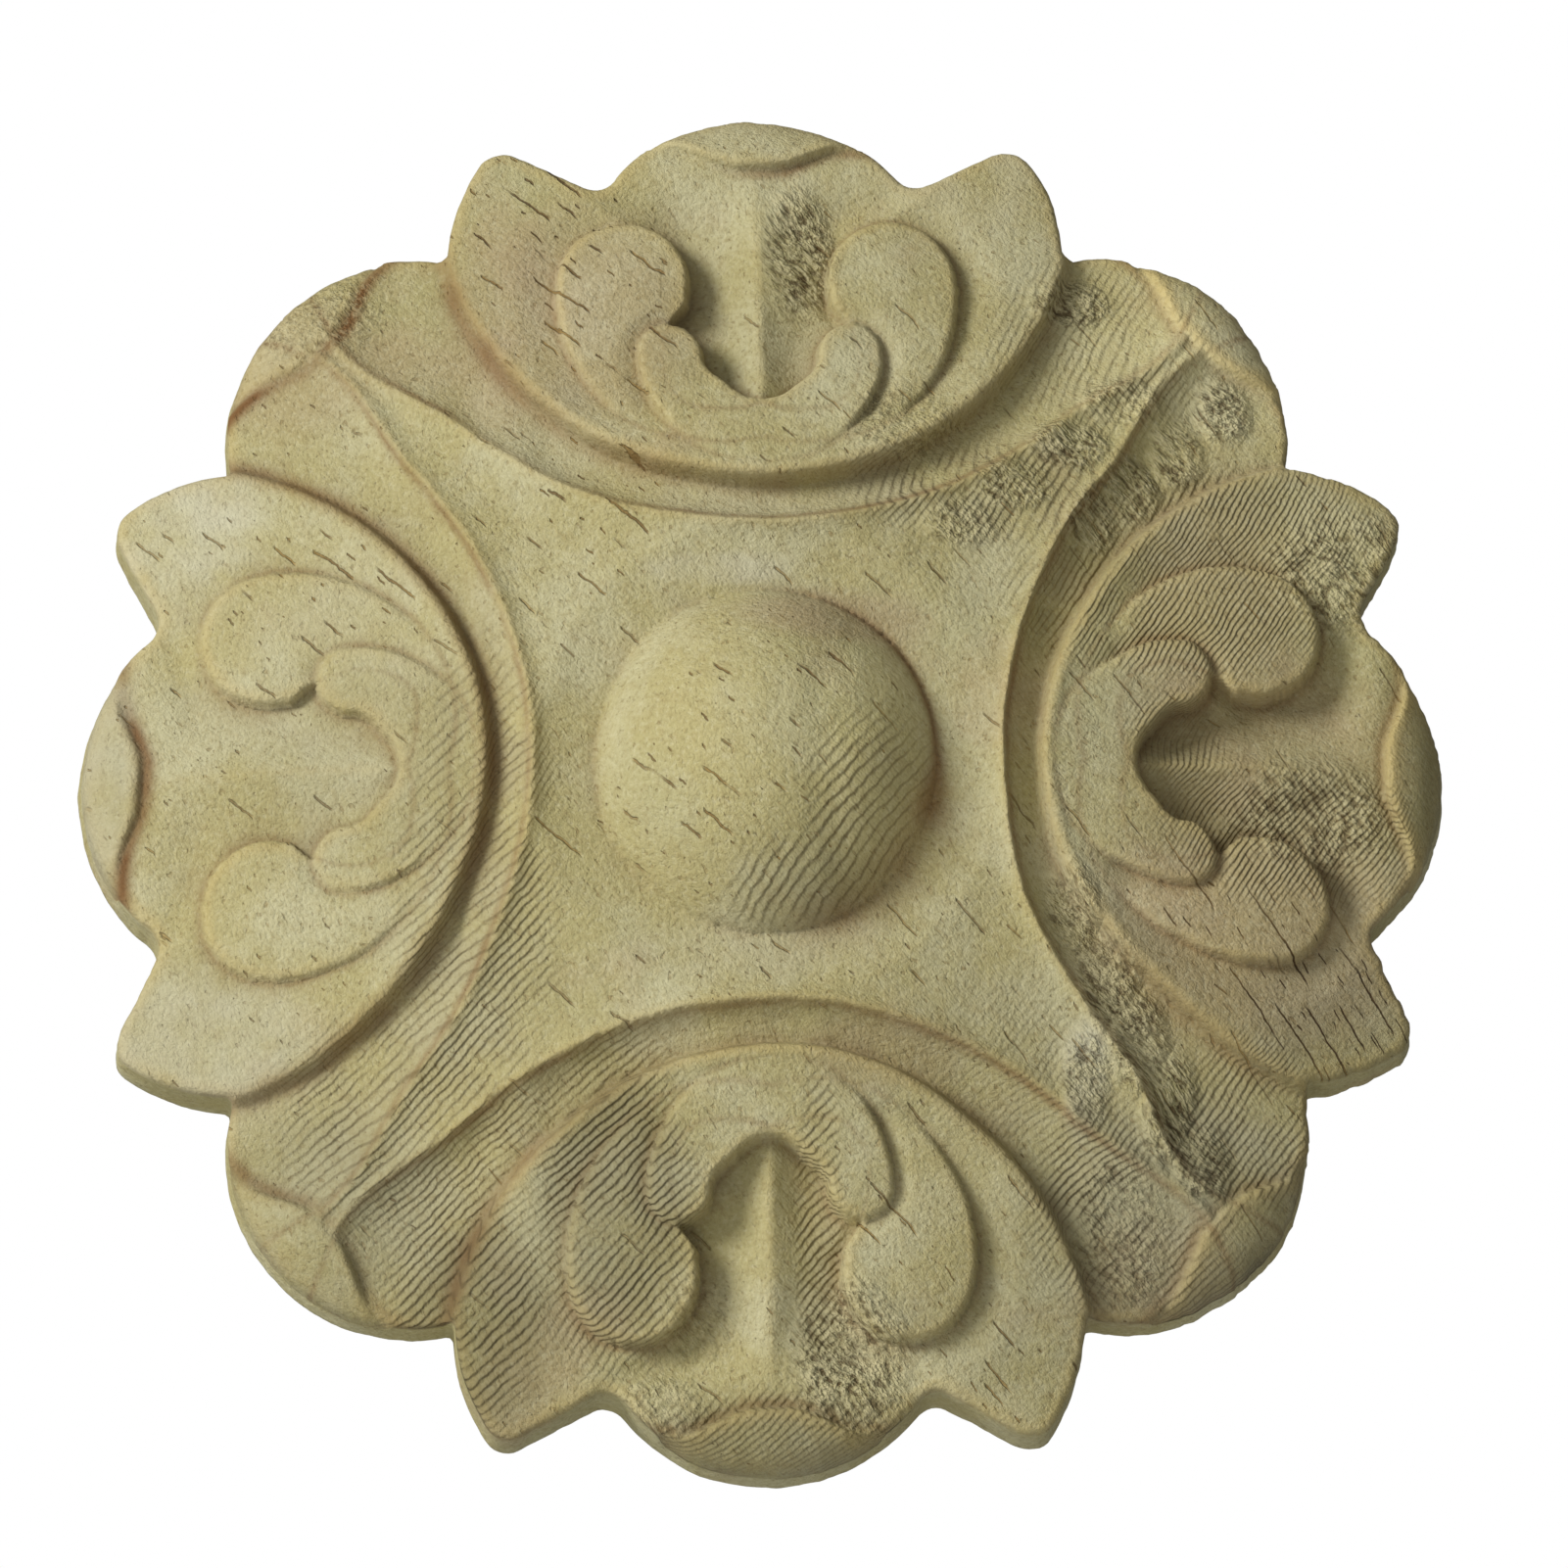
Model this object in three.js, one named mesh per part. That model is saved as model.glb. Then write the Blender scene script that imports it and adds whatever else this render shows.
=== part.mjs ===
// Carved wood rosette applique: one board-carved solid with a flat back.
// Four palmettes lie on the axes, four round petals between them, a dome in the middle.
// The relief is a height over the flat back, and it repeats in eight mirrored wedges.
// The model is in millimetres. It stands upright: +Z up, the carved face towards -Y,
// and the origin in the middle of the flat back.
import * as THREE from 'three';
import { mergeVertices } from 'three/addons/utils/BufferGeometryUtils.js';

// Driving dimensions, mm
const WIDTH = 100;
const HEIGHT = 102.5;
const THICKNESS = 19.2;
const LIP_EDGE_HEIGHT = 2.6;
const WALL_DRAFT = 0.4;

// The carving keeps its proportions: plan sizes are shares of the radius across,
// and the whole is drawn out a little in height at the end
const RADIUS = WIDTH / 2;
const LOBE_RADIUS = 0.264 * RADIUS;
const LOBE_CENTRE = RADIUS - WALL_DRAFT - LOBE_RADIUS;
const CORE_RADIUS = 0.84 * RADIUS;
const LEAF_ARC = { s: 0.766 * RADIUS, t: 0.17 * RADIUS, r: 0.282 * RADIUS };
const LEAF_EDGE = { s: 0.874 * RADIUS, t: 0.24 * RADIUS, angle: THREE.MathUtils.degToRad(62) };
const LEAF_INNER_LIMIT = 0.16 * RADIUS;
const LEAF_TIP_ROUND = 0.036 * RADIUS;
const LEAF_NOTCH_ROUND = 0.032 * RADIUS;
const PETAL_NOTCH_ROUND = 0.01 * RADIUS;
const DOME_RADIUS = 0.248 * RADIUS;
const STRAP_CURVE = { s: 1.02 * RADIUS, r: 0.676 * RADIUS };
const STRAP_CLOSE = 0.052 * RADIUS;
const BODY_CURVE = { s: 0.882 * RADIUS, r: 0.472 * RADIUS };
const BODY_WALL = 0.015 * RADIUS;
const BODY_WALL_INSIDE = 0.7;
const BODY_EDGE_ROUND = 0.016 * RADIUS;
const BODY_RIM = 0.06 * RADIUS;
const DISH_REACH = 0.036 * RADIUS;
const MID_CENTRE = { s: 0.696 * RADIUS, t: 0.064 * RADIUS };
const MID_REACH = 0.232 * RADIUS;
const MID_WIDTH = { end: 0.098 * RADIUS, start: 0.024 * RADIUS };
const MID_END = THREE.MathUtils.degToRad(80);
const MID_ROUND = 0.014 * RADIUS;
const TOP_CENTRE = 0.604 * RADIUS;
const TOP_REACH = { end: 0.13 * RADIUS, start: 0.119 * RADIUS };
const TOP_WIDTH = { end: 0.05 * RADIUS, arm: 0.057 * RADIUS, start: 0.055 * RADIUS };
const TOP_END = THREE.MathUtils.degToRad(90);
const TOP_ROUND = 0.012 * RADIUS;
const FOOT_REACH = { mid: 0.07 * RADIUS, top: 0.03 * RADIUS };
const SCOOP_WIDTH = { start: 0.115 * RADIUS, middle: 0.045 * RADIUS, end: 0.12 * RADIUS };
const LIP_CUSP = 0.9 * RADIUS;
const LIP_SWEEP = 0.034 * RADIUS;
const LIP_HALF_WIDTH = 0.19 * RADIUS;
const LIP_STEP = 0.009 * RADIUS;

// Where a form fades in: it starts at one place and is full a little further on
const MID_TAPER = { from: THREE.MathUtils.degToRad(100), over: THREE.MathUtils.degToRad(70) };
const TOP_SWELL = { from: TOP_END, over: THREE.MathUtils.degToRad(26) };
const TOP_TAPER = { from: THREE.MathUtils.degToRad(130), over: THREE.MathUtils.degToRad(50) };
const DISH_FADE = { from: 0.36 * RADIUS, over: 0.32 * RADIUS };
const STRAP_CLOSING = { from: 0.66 * RADIUS, over: 0.24 * RADIUS };
const COVE_FADE = { from: 0.36 * RADIUS, over: 0.48 * RADIUS };
const MID_FADE = { from: 0.5 * RADIUS, over: 0.08 * RADIUS };
const MID_RISE = { from: 0.48 * RADIUS, over: 0.32 * RADIUS };
const MID_DIP_FADE = { from: 0.46 * RADIUS, over: 0.14 * RADIUS };
const TOP_RISE = { from: 0.42 * RADIUS, over: 0.22 * RADIUS };
const DIP_FADE = { from: 0.48 * RADIUS, over: 0.08 * RADIUS };
const DIP_OFF_AXIS = { from: 0.04 * RADIUS, over: 0.08 * RADIUS };
const TONGUE_RISE = { from: 0.554 * RADIUS, over: 0.34 * RADIUS };
const TONGUE_SIDE = { from: 0.1 * RADIUS, over: 0.07 * RADIUS };
const SCOOP_START = { from: 0.1 * RADIUS, over: 0.05 * RADIUS };
const SCOOP_MIDDLE = { from: 0.6 * RADIUS, over: 0.12 * RADIUS };
const SCOOP_END = { from: 0.78 * RADIUS, over: 0.12 * RADIUS };
const SCOOP_FADE = { from: 0.82 * RADIUS, over: 0.09 * RADIUS };
const LIP_SIDE = { from: 0.02 * RADIUS, over: 0.116 * RADIUS };
const LIP_ROLL = { from: 0.15, over: 0.85 };

// How full the rounded sections are
const COVE_POWER = 4.2;
const SCOOP_POWER = 1.15;
const LIP_POWER = 1.6;

// Heights over the back are shares of the whole thickness, slopes go with both
const DOME_FOOT = 0.635 * THICKNESS;
const DOME_RISE = THICKNESS - DOME_FOOT;
const STRAP_HEIGHT = 0.677 * THICKNESS;
const STRAP_FALL = 0.638 * THICKNESS / RADIUS;
const STRAP_SHOULDER = 0.344 * RADIUS;
const BODY_HEIGHT = 0.672 * THICKNESS;
const BODY_FALL = 0.755 * THICKNESS / RADIUS;
const BODY_SHOULDER = 0.44 * RADIUS;
const DISH_DEPTH = { dome: 0.057 * THICKNESS, strap: 0.029 * THICKNESS };
const COVE_DEPTH = { inner: 0.07 * THICKNESS, outer: 0.08 * THICKNESS };
const BODY_EDGE_DROP = 0.02 * THICKNESS;
const MID_LIFT = { inner: -0.02 * THICKNESS, outer: 0.04 * THICKNESS };
const MID_FOOT_DIP = 0.028 * THICKNESS;
const MID_CROWN = 0.008 * THICKNESS;
const TOP_LIFT = { inner: 0, outer: 0.036 * THICKNESS };
const TOP_FOOT_DIP = 0.018 * THICKNESS;
const TOP_CROWN = 0.006 * THICKNESS;
const TONGUE_DEPTH = 0.052 * THICKNESS;
const SCOOP_DEPTH = 0.07 * THICKNESS;
const LIP_HEIGHT = { palmette: 0.362 * THICKNESS, petal: 0.315 * THICKNESS };
const LIP_SAG = { palmette: 0.0013 * THICKNESS, petal: 0.0026 * THICKNESS };

// Facets: how far the flat triangles may leave the true surface, and how fine they get
const EDGE_TOLERANCE = 0.0013 * RADIUS;
const FACET_TOLERANCE = 0.0023 * RADIUS;
const LONGEST_EDGE = 0.05 * RADIUS;
const SAMPLE_STEP = 0.0078 * RADIUS;
const SNAP_REACH = 0.5 * SAMPLE_STEP;
const SLOPE_STEP = 1e-4 * RADIUS;
const LEAST_SLOPE = 0.5;
const WEDGE_POINT_LIMIT = 540;
const SIDE_CLEARANCE = 0.51;
const EDGE_SAMPLES = 900;
const BISECTIONS = 40;
const INSIDE_OUTLINE = 0.9 * CORE_RADIUS;
const OUTSIDE_OUTLINE = 1.1 * RADIUS;
const HULL_REACH = 20 * RADIUS;
const CIRCLE_TOLERANCE = 1e-12;
const WELD_DISTANCE = 1e-4;

const WOOD = { color: 0xb8a878, roughness: 0.85, metalness: 0 };

const DIAGONAL = Math.PI / 4;

function clamp01(x) {
  return Math.min(1, Math.max(0, x));
}

function ease(x) {
  const q = clamp01(x);
  return q * q * (3 - 2 * q);
}

function mix(a, b, f) {
  return a + (b - a) * f;
}

// 0 up to a fade's start, 1 from its end on
function fade(x, { from, over }) {
  return ease((x - from) / over);
}

// 0 at an edge, rising steeply and rounding over to 1
function bulge(x) {
  return Math.sqrt(1 - (1 - clamp01(x)) ** 2);
}

// Signed distances in plan, negative inside
function circle(s, t, centreS, centreT, r) {
  return Math.hypot(s - centreS, t - centreT) - r;
}

function joinRound(a, b, r) {
  return Math.max(r, Math.min(a, b)) - Math.hypot(Math.max(r - a, 0), Math.max(r - b, 0));
}

function meetRound(a, b, r) {
  return Math.min(-r, Math.max(a, b)) + Math.hypot(Math.max(r + a, 0), Math.max(r + b, 0));
}

// One wedge: s runs out along a palmette's axis, t to its side, with s >= t >= 0.
// The petal between two palmettes has its own axis a, 45 degrees round, and side distance b.
function petalFrame(s, t) {
  return { a: (s + t) * Math.SQRT1_2, b: Math.abs(s - t) * Math.SQRT1_2 };
}

// The pointed side leaf of a palmette, between its round arc and its straight inner edge
function sideLeaf(s, t) {
  const arc = circle(s, t, LEAF_ARC.s, LEAF_ARC.t, LEAF_ARC.r);
  const across = Math.sin(LEAF_EDGE.angle) * (s - LEAF_EDGE.s);
  const along = Math.cos(LEAF_EDGE.angle) * (t - LEAF_EDGE.t);
  return Math.max(meetRound(arc, across - along, LEAF_TIP_ROUND), LEAF_INNER_LIMIT - t);
}

function outline(s, t) {
  const { a, b } = petalFrame(s, t);
  const lobe = circle(s, t, LOBE_CENTRE, 0, LOBE_RADIUS);
  const petal = circle(a, b, LOBE_CENTRE, 0, LOBE_RADIUS);
  const palmette = joinRound(lobe, sideLeaf(s, t), LEAF_NOTCH_ROUND);
  return Math.min(joinRound(palmette, petal, PETAL_NOTCH_ROUND), Math.hypot(s, t) - CORE_RADIUS);
}

// The star-shaped ground between the grooves: a shallow dish round the dome,
// running out along each petal as a strap between two crests
function strapCrest(r) {
  return STRAP_HEIGHT - STRAP_FALL * Math.max(r - STRAP_SHOULDER, 0);
}

function ground(r, pastCrest) {
  const depth = mix(DISH_DEPTH.dome, DISH_DEPTH.strap, fade(r, DISH_FADE));
  return strapCrest(r) - depth * (1 - Math.exp(-pastCrest / DISH_REACH));
}

// The groove round a palmette, a cove that opens out into the petal's flank
function cove(r, toCrest, toBody) {
  const across = toCrest / Math.max(toCrest + toBody, Number.EPSILON);
  const depth = mix(COVE_DEPTH.inner, COVE_DEPTH.outer, fade(r, COVE_FADE));
  return strapCrest(r) - depth * (1 - (1 - across) ** COVE_POWER);
}

function dome(r) {
  const sphere = (DOME_RADIUS ** 2 + DOME_RISE ** 2) / (2 * DOME_RISE);
  return THICKNESS - sphere + Math.sqrt(Math.max(sphere ** 2 - r * r, 0));
}

// The strap between two grooves narrows to a point at the petal's lip
function toStrapCrest(s, t) {
  const closing = STRAP_CLOSE * fade(petalFrame(s, t).a, STRAP_CLOSING);
  return closing - circle(s, t, STRAP_CURVE.s, 0, STRAP_CURVE.r);
}

function toBodyEdge(s, t) {
  return circle(s, t, BODY_CURVE.s, 0, BODY_CURVE.r);
}

// The crease behind a lip is a bracket with a cusp on the lobe's axis
function pastCrease(a, b) {
  return b > LIP_HALF_WIDTH ? -RADIUS : a - LIP_CUSP - LIP_SWEEP * fade(b, LIP_SIDE);
}

// The rolled lip at the tip of each round lobe, whose outer side rounds down to a low edge
function lip(a, b, inner, top, sag) {
  const past = pastCrease(a, b);
  if (past <= 0) return inner;
  const rim = LOBE_CENTRE + Math.sqrt(Math.max(LOBE_RADIUS ** 2 - b * b, 0));
  const across = rim - a + past > 0 ? past / (rim - a + past) : 1;
  const crown = top - sag * b * b;
  const fall = clamp01((across - LIP_ROLL.from) / LIP_ROLL.over);
  const roll = mix(LIP_EDGE_HEIGHT, crown, Math.sqrt(1 - fall ** LIP_POWER));
  return mix(inner, roll, ease(past / LIP_STEP));
}

// The middle tier of a palmette: a curved stroke on each side of the tongue,
// thin where it leaves the crest and broad at its round end
function midTier(s, t) {
  const turned = Math.atan2(t - MID_CENTRE.t, s - MID_CENTRE.s);
  const along = turned < -Math.PI / 2 ? turned + 2 * Math.PI : turned;
  if (along <= MID_END) {
    const reach = MID_REACH - MID_WIDTH.end;
    const endS = MID_CENTRE.s + reach * Math.cos(MID_END);
    const endT = MID_CENTRE.t + reach * Math.sin(MID_END);
    return circle(s, t, endS, endT, MID_WIDTH.end);
  }
  const width = mix(MID_WIDTH.end, MID_WIDTH.start, fade(along, MID_TAPER));
  return Math.abs(circle(s, t, MID_CENTRE.s, MID_CENTRE.t, MID_REACH - width)) - width;
}

// The top tier: a horseshoe with thick arms that end round
function topTier(s, t) {
  const along = Math.atan2(t, s - TOP_CENTRE);
  if (along <= TOP_END) {
    const endS = TOP_CENTRE + TOP_REACH.end * Math.cos(TOP_END);
    return circle(s, t, endS, TOP_REACH.end * Math.sin(TOP_END), TOP_WIDTH.end);
  }
  const swell = fade(along, TOP_SWELL);
  const arm = mix(TOP_WIDTH.end, TOP_WIDTH.arm, swell);
  const width = mix(arm, TOP_WIDTH.start, fade(along, TOP_TAPER));
  return Math.abs(circle(s, t, TOP_CENTRE, 0, mix(TOP_REACH.end, TOP_REACH.start, swell))) - width;
}

// The tongue starts low inside the horseshoe and rises towards the lip,
// with a scoop on each side of its sharp ridge
function tongueDrop(s, t) {
  const width = SCOOP_WIDTH.start + SCOOP_WIDTH.middle * fade(s, SCOOP_MIDDLE)
    + SCOOP_WIDTH.end * fade(s, SCOOP_END);
  const scoop = SCOOP_DEPTH * Math.sin(Math.PI * clamp01(t / width)) ** SCOOP_POWER;
  const within = Math.hypot(Math.min(s - TOP_CENTRE, 0), t);
  const depth = TONGUE_DEPTH * (1 - fade(s, TONGUE_RISE)) * (1 - fade(within, TONGUE_SIDE));
  const behind = s < TOP_CENTRE ? fade(within, SCOOP_START) : 0;
  return depth + scoop * (1 - fade(s, SCOOP_FADE)) * (1 - behind);
}

// A palmette's carved body: broad leaf, tongue, middle tier, top tier and lip
function palmette(s, t, r, inside) {
  const toMid = midTier(s, t);
  const toTop = topTier(s, t);
  const leaf = BODY_HEIGHT - BODY_FALL * (r - BODY_SHOULDER);
  const dips = ease(inside / BODY_RIM) * fade(r, DIP_FADE) * fade(t, DIP_OFF_AXIS);
  const midDip = MID_FOOT_DIP * fade(r, MID_DIP_FADE) * (1 - ease(toMid / FOOT_REACH.mid));
  const topDip = TOP_FOOT_DIP * (1 - ease(toTop / FOOT_REACH.top));
  let z = leaf - tongueDrop(s, t) - dips * midDip;
  const midTop = leaf + mix(MID_LIFT.inner, MID_LIFT.outer, fade(r, MID_RISE))
    + MID_CROWN * bulge(-toMid / MID_WIDTH.end);
  z += Math.max(midTop - z, 0) * bulge(-toMid / MID_ROUND) * fade(r, MID_FADE);
  const topTop = leaf + mix(TOP_LIFT.inner, TOP_LIFT.outer, fade(r, TOP_RISE))
    + TOP_CROWN * bulge(-toTop / TOP_WIDTH.arm);
  z -= dips * topDip;
  z += Math.max(topTop - z, 0) * bulge(-toTop / TOP_ROUND);
  return lip(s, t, z, LIP_HEIGHT.palmette, LIP_SAG.palmette);
}

// The height of the carved face over the back, anywhere in one wedge
function height(s, t) {
  const r = Math.hypot(s, t);
  const toCrest = toStrapCrest(s, t);
  const toBody = toBodyEdge(s, t);
  let z = toCrest > 0 ? cove(r, toCrest, Math.max(toBody, 0)) : ground(r, -toCrest);
  const { a, b } = petalFrame(s, t);
  z = lip(a, b, z, LIP_HEIGHT.petal, LIP_SAG.petal);
  if (r < DOME_RADIUS) z = Math.max(z, dome(r));
  const onBody = ease(BODY_WALL_INSIDE - toBody / BODY_WALL);
  if (onBody === 0) return z;
  const edge = BODY_EDGE_DROP * (1 - bulge(-toBody / BODY_EDGE_ROUND));
  return mix(z, palmette(s, t, r, -toBody) - edge, onBody);
}

function point(s, t) {
  return new THREE.Vector3(s, t, height(s, t));
}

// Lines that the facets follow: a distance in plan, and the offsets where points lie
const CREASES = [
  { distance: (s, t) => Math.hypot(s, t) - DOME_RADIUS, rows: [0] },
  { distance: toStrapCrest, rows: [0] },
  {
    distance: toBodyEdge,
    rows: [BODY_WALL_INSIDE * BODY_WALL, (BODY_WALL_INSIDE - 1) * BODY_WALL, -BODY_EDGE_ROUND],
  },
  { distance: midTier, rows: [0, -MID_ROUND] },
  { distance: topTier, rows: [0, -TOP_ROUND] },
  { distance: pastCrease, rows: [0, LIP_STEP] },
  {
    distance: (s, t) => {
      const { a, b } = petalFrame(s, t);
      return pastCrease(a, b);
    },
    rows: [0, LIP_STEP],
  },
];

// Moves a place beside one of those lines onto its nearest row
function snapped(s, t) {
  for (const { distance, rows } of CREASES) {
    const here = distance(s, t);
    const gap = rows.map((row) => here - row).reduce((u, v) => (Math.abs(v) < Math.abs(u) ? v : u));
    if (Math.abs(gap) > SNAP_REACH) continue;
    const slopeS = (distance(s + SLOPE_STEP, t) - here) / SLOPE_STEP;
    const slopeT = (distance(s, t + SLOPE_STEP) - here) / SLOPE_STEP;
    const steep = slopeS ** 2 + slopeT ** 2;
    if (steep < LEAST_SLOPE || steep > 1 / LEAST_SLOPE) continue;
    return { s: s - gap * slopeS / steep, t: t - gap * slopeT / steep };
  }
  return { s, t };
}

function outlineRadius(angle) {
  let inside = INSIDE_OUTLINE;
  let outside = OUTSIDE_OUTLINE;
  for (let i = 0; i < BISECTIONS; i++) {
    const r = (inside + outside) / 2;
    if (outline(r * Math.cos(angle), r * Math.sin(angle)) < 0) inside = r;
    else outside = r;
  }
  return inside;
}

// Keeps only the points of a fine line that its shape needs
function thin(line, tolerance) {
  const ends = new THREE.Line3(line[0], line[line.length - 1]);
  const foot = new THREE.Vector3();
  let worst = 0;
  let at = 0;
  for (let i = 1; i < line.length - 1; i++) {
    ends.closestPointToPoint(line[i], true, foot);
    const error = foot.distanceTo(line[i]);
    if (error > worst) {
      worst = error;
      at = i;
    }
  }
  if (at === 0) return [line[0], line[line.length - 1]];
  if (worst < tolerance && ends.distance() < LONGEST_EDGE) return [line[0], line[line.length - 1]];
  if (worst < tolerance) at = Math.floor(line.length / 2);
  const first = thin(line.slice(0, at + 1), tolerance);
  return first.slice(0, -1).concat(thin(line.slice(at), tolerance));
}

function fineLine(place) {
  return Array.from({ length: EDGE_SAMPLES + 1 }, (_, i) => place(i / EDGE_SAMPLES));
}

// The wedge's three sides, each thinned from a fine line
function wedgeSides() {
  const axisEnd = outlineRadius(0);
  const diagonalEnd = outlineRadius(DIAGONAL) * Math.SQRT1_2;
  const rim = thin(fineLine((q) => {
    const angle = q * DIAGONAL;
    const r = outlineRadius(angle);
    if (q === 0) return point(axisEnd, 0);
    if (q === 1) return point(diagonalEnd, diagonalEnd);
    return point(r * Math.cos(angle), r * Math.sin(angle));
  }), EDGE_TOLERANCE);
  const axis = thin(fineLine((q) => point(q * axisEnd, 0)), EDGE_TOLERANCE);
  const diagonal = thin(fineLine((q) => point(q * diagonalEnd, q * diagonalEnd)), EDGE_TOLERANCE);
  return { axis, rim, diagonal };
}

// Twice the signed area of a triangle in plan
function turn(a, b, c) {
  return (b.x - a.x) * (c.y - a.y) - (c.x - a.x) * (b.y - a.y);
}

function inCircumcircle(corners, p) {
  const [a, b, c] = corners.map((v) => ({ x: v.x - p.x, y: v.y - p.y }));
  const square = (v) => v.x * v.x + v.y * v.y;
  return square(a) * (b.x * c.y - c.x * b.y) - square(b) * (a.x * c.y - c.x * a.y)
    + square(c) * (a.x * b.y - b.x * a.y) > CIRCLE_TOLERANCE;
}

function holds(corners, p) {
  return corners.every((v, i) => turn(v, corners[(i + 1) % 3], p) >= 0);
}

// Plan triangles of one wedge, by Delaunay insertion. Each triangle carries the surface
// samples over it, and the sample that lies farthest from its triangle goes in next.
class WedgeMesh {
  constructor(samples) {
    this.hull = [
      new THREE.Vector3(-HULL_REACH, -HULL_REACH, 0),
      new THREE.Vector3(HULL_REACH, -HULL_REACH, 0),
      new THREE.Vector3(0, HULL_REACH, 0),
    ];
    this.triangles = new Set();
    this.add(this.hull, samples);
  }

  add(corners, samples) {
    const triangle = { corners, samples, worst: null, error: 0 };
    if (!corners.some((v) => this.hull.includes(v))) this.measure(triangle);
    this.triangles.add(triangle);
  }

  measure(triangle) {
    const [a, b, c] = triangle.corners;
    const area = turn(a, b, c);
    for (const p of triangle.samples) {
      const z = (a.z * turn(b, c, p) + b.z * turn(c, a, p) + c.z * turn(a, b, p)) / area;
      const error = Math.abs(z - p.z);
      if (error > triangle.error) {
        triangle.error = error;
        triangle.worst = p;
      }
    }
  }

  insert(p) {
    const hit = [...this.triangles].filter((triangle) => inCircumcircle(triangle.corners, p));
    const edges = hit.flatMap(({ corners }) => corners.map((v, i) => [v, corners[(i + 1) % 3]]));
    const rim = edges.filter(([u, v]) => !edges.some(([x, y]) => x === v && y === u));
    const samples = hit.flatMap((triangle) => triangle.samples).filter((q) => q !== p);
    for (const triangle of hit) this.triangles.delete(triangle);
    const left = new Set(samples);
    for (const [u, v] of rim) {
      const corners = [u, v, p];
      if (turn(u, v, p) <= 0) continue;
      const own = [...left].filter((q) => holds(corners, q));
      for (const q of own) left.delete(q);
      this.add(corners, own);
    }
  }

  refine(tolerance, limit) {
    for (let count = 0; count < limit; count++) {
      let next = null;
      for (const triangle of this.triangles) {
        if (triangle.error > (next ? next.error : tolerance)) next = triangle;
      }
      if (!next) return;
      this.insert(next.worst);
    }
  }
}

// Surface samples inside the wedge, clear of its sides' own edges
function wedgeSamples(sides) {
  const edges = sides.flatMap((side) => side.slice(1).map((p, i) => ({
    x: (p.x + side[i].x) / 2,
    y: (p.y + side[i].y) / 2,
    r: Math.hypot(p.x - side[i].x, p.y - side[i].y) * SIDE_CLEARANCE,
  })));
  const cells = new Map();
  for (let gridS = SAMPLE_STEP; gridS < RADIUS; gridS += SAMPLE_STEP) {
    for (let gridT = SAMPLE_STEP / 2; gridT < gridS; gridT += SAMPLE_STEP) {
      const { s, t } = snapped(gridS, gridT);
      if (t < SNAP_REACH || s - t < SNAP_REACH || outline(s, t) > -SAMPLE_STEP) continue;
      if (edges.some((edge) => Math.hypot(s - edge.x, t - edge.y) < edge.r)) continue;
      const cell = `${Math.round(s / SNAP_REACH)},${Math.round(t / SNAP_REACH)}`;
      if (!cells.has(cell)) cells.set(cell, point(s, t));
    }
  }
  return [...cells.values()];
}

function wedgeTriangles({ axis, rim, diagonal }) {
  const mesh = new WedgeMesh(wedgeSamples([axis, rim, diagonal]));
  const border = [...axis, ...rim.slice(1), ...diagonal.slice(1, -1)];
  for (const p of border) mesh.insert(p);
  mesh.refine(FACET_TOLERANCE, WEDGE_POINT_LIMIT);
  return [...mesh.triangles].map((triangle) => triangle.corners).filter((corners) => {
    if (corners.some((v) => mesh.hull.includes(v))) return false;
    const x = (corners[0].x + corners[1].x + corners[2].x) / 3;
    const y = (corners[0].y + corners[1].y + corners[2].y) / 3;
    return x > y && y > 0 && outline(x, y) < 0;
  });
}

// A wall from the carved face's edge down to the back, leaning out by the draft,
// and the back itself as a fan round its middle
function wallAndBack(rim) {
  const foot = rim.map((p) => {
    const grow = 1 + WALL_DRAFT / Math.hypot(p.x, p.y);
    return new THREE.Vector3(p.x * grow, p.y * grow, 0);
  });
  const middle = new THREE.Vector3(0, 0, 0);
  const faces = [];
  for (let i = 1; i < rim.length; i++) {
    faces.push([rim[i - 1], foot[i - 1], foot[i]], [rim[i - 1], foot[i], rim[i]]);
    faces.push([middle, foot[i], foot[i - 1]]);
  }
  return faces;
}

// Eight wedges: four quarter turns, each with its mirror image
function allRound(faces) {
  const positions = [];
  const turns = [[1, 0, 0, 1], [0, -1, 1, 0], [-1, 0, 0, -1], [0, 1, -1, 0]];
  for (const [xx, xy, yx, yy] of turns) {
    for (const side of [1, -1]) {
      for (const face of faces) {
        const corners = side > 0 ? face : [...face].reverse();
        for (const p of corners) {
          const y = side * p.y;
          const up = (yx * p.x + yy * y) * HEIGHT / WIDTH;
          positions.push(xx * p.x + xy * y, up, p.z);
        }
      }
    }
  }
  const geometry = new THREE.BufferGeometry();
  geometry.setAttribute('position', new THREE.Float32BufferAttribute(positions, 3));
  return mergeVertices(geometry, WELD_DISTANCE);
}

function rosette() {
  const sides = wedgeSides();
  const geometry = allRound([...wedgeTriangles(sides), ...wallAndBack(sides.rim)]);
  geometry.computeVertexNormals();
  const mesh = new THREE.Mesh(geometry, new THREE.MeshStandardMaterial(WOOD));
  mesh.name = 'rosette';
  return mesh;
}

const model = new THREE.Group();
model.add(rosette());
model.rotation.x = Math.PI / 2;

export default model;
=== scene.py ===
import math

import bpy
import numpy as np
from mathutils import Matrix, Vector
from mathutils.geometry import delaunay_2d_cdt


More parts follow.
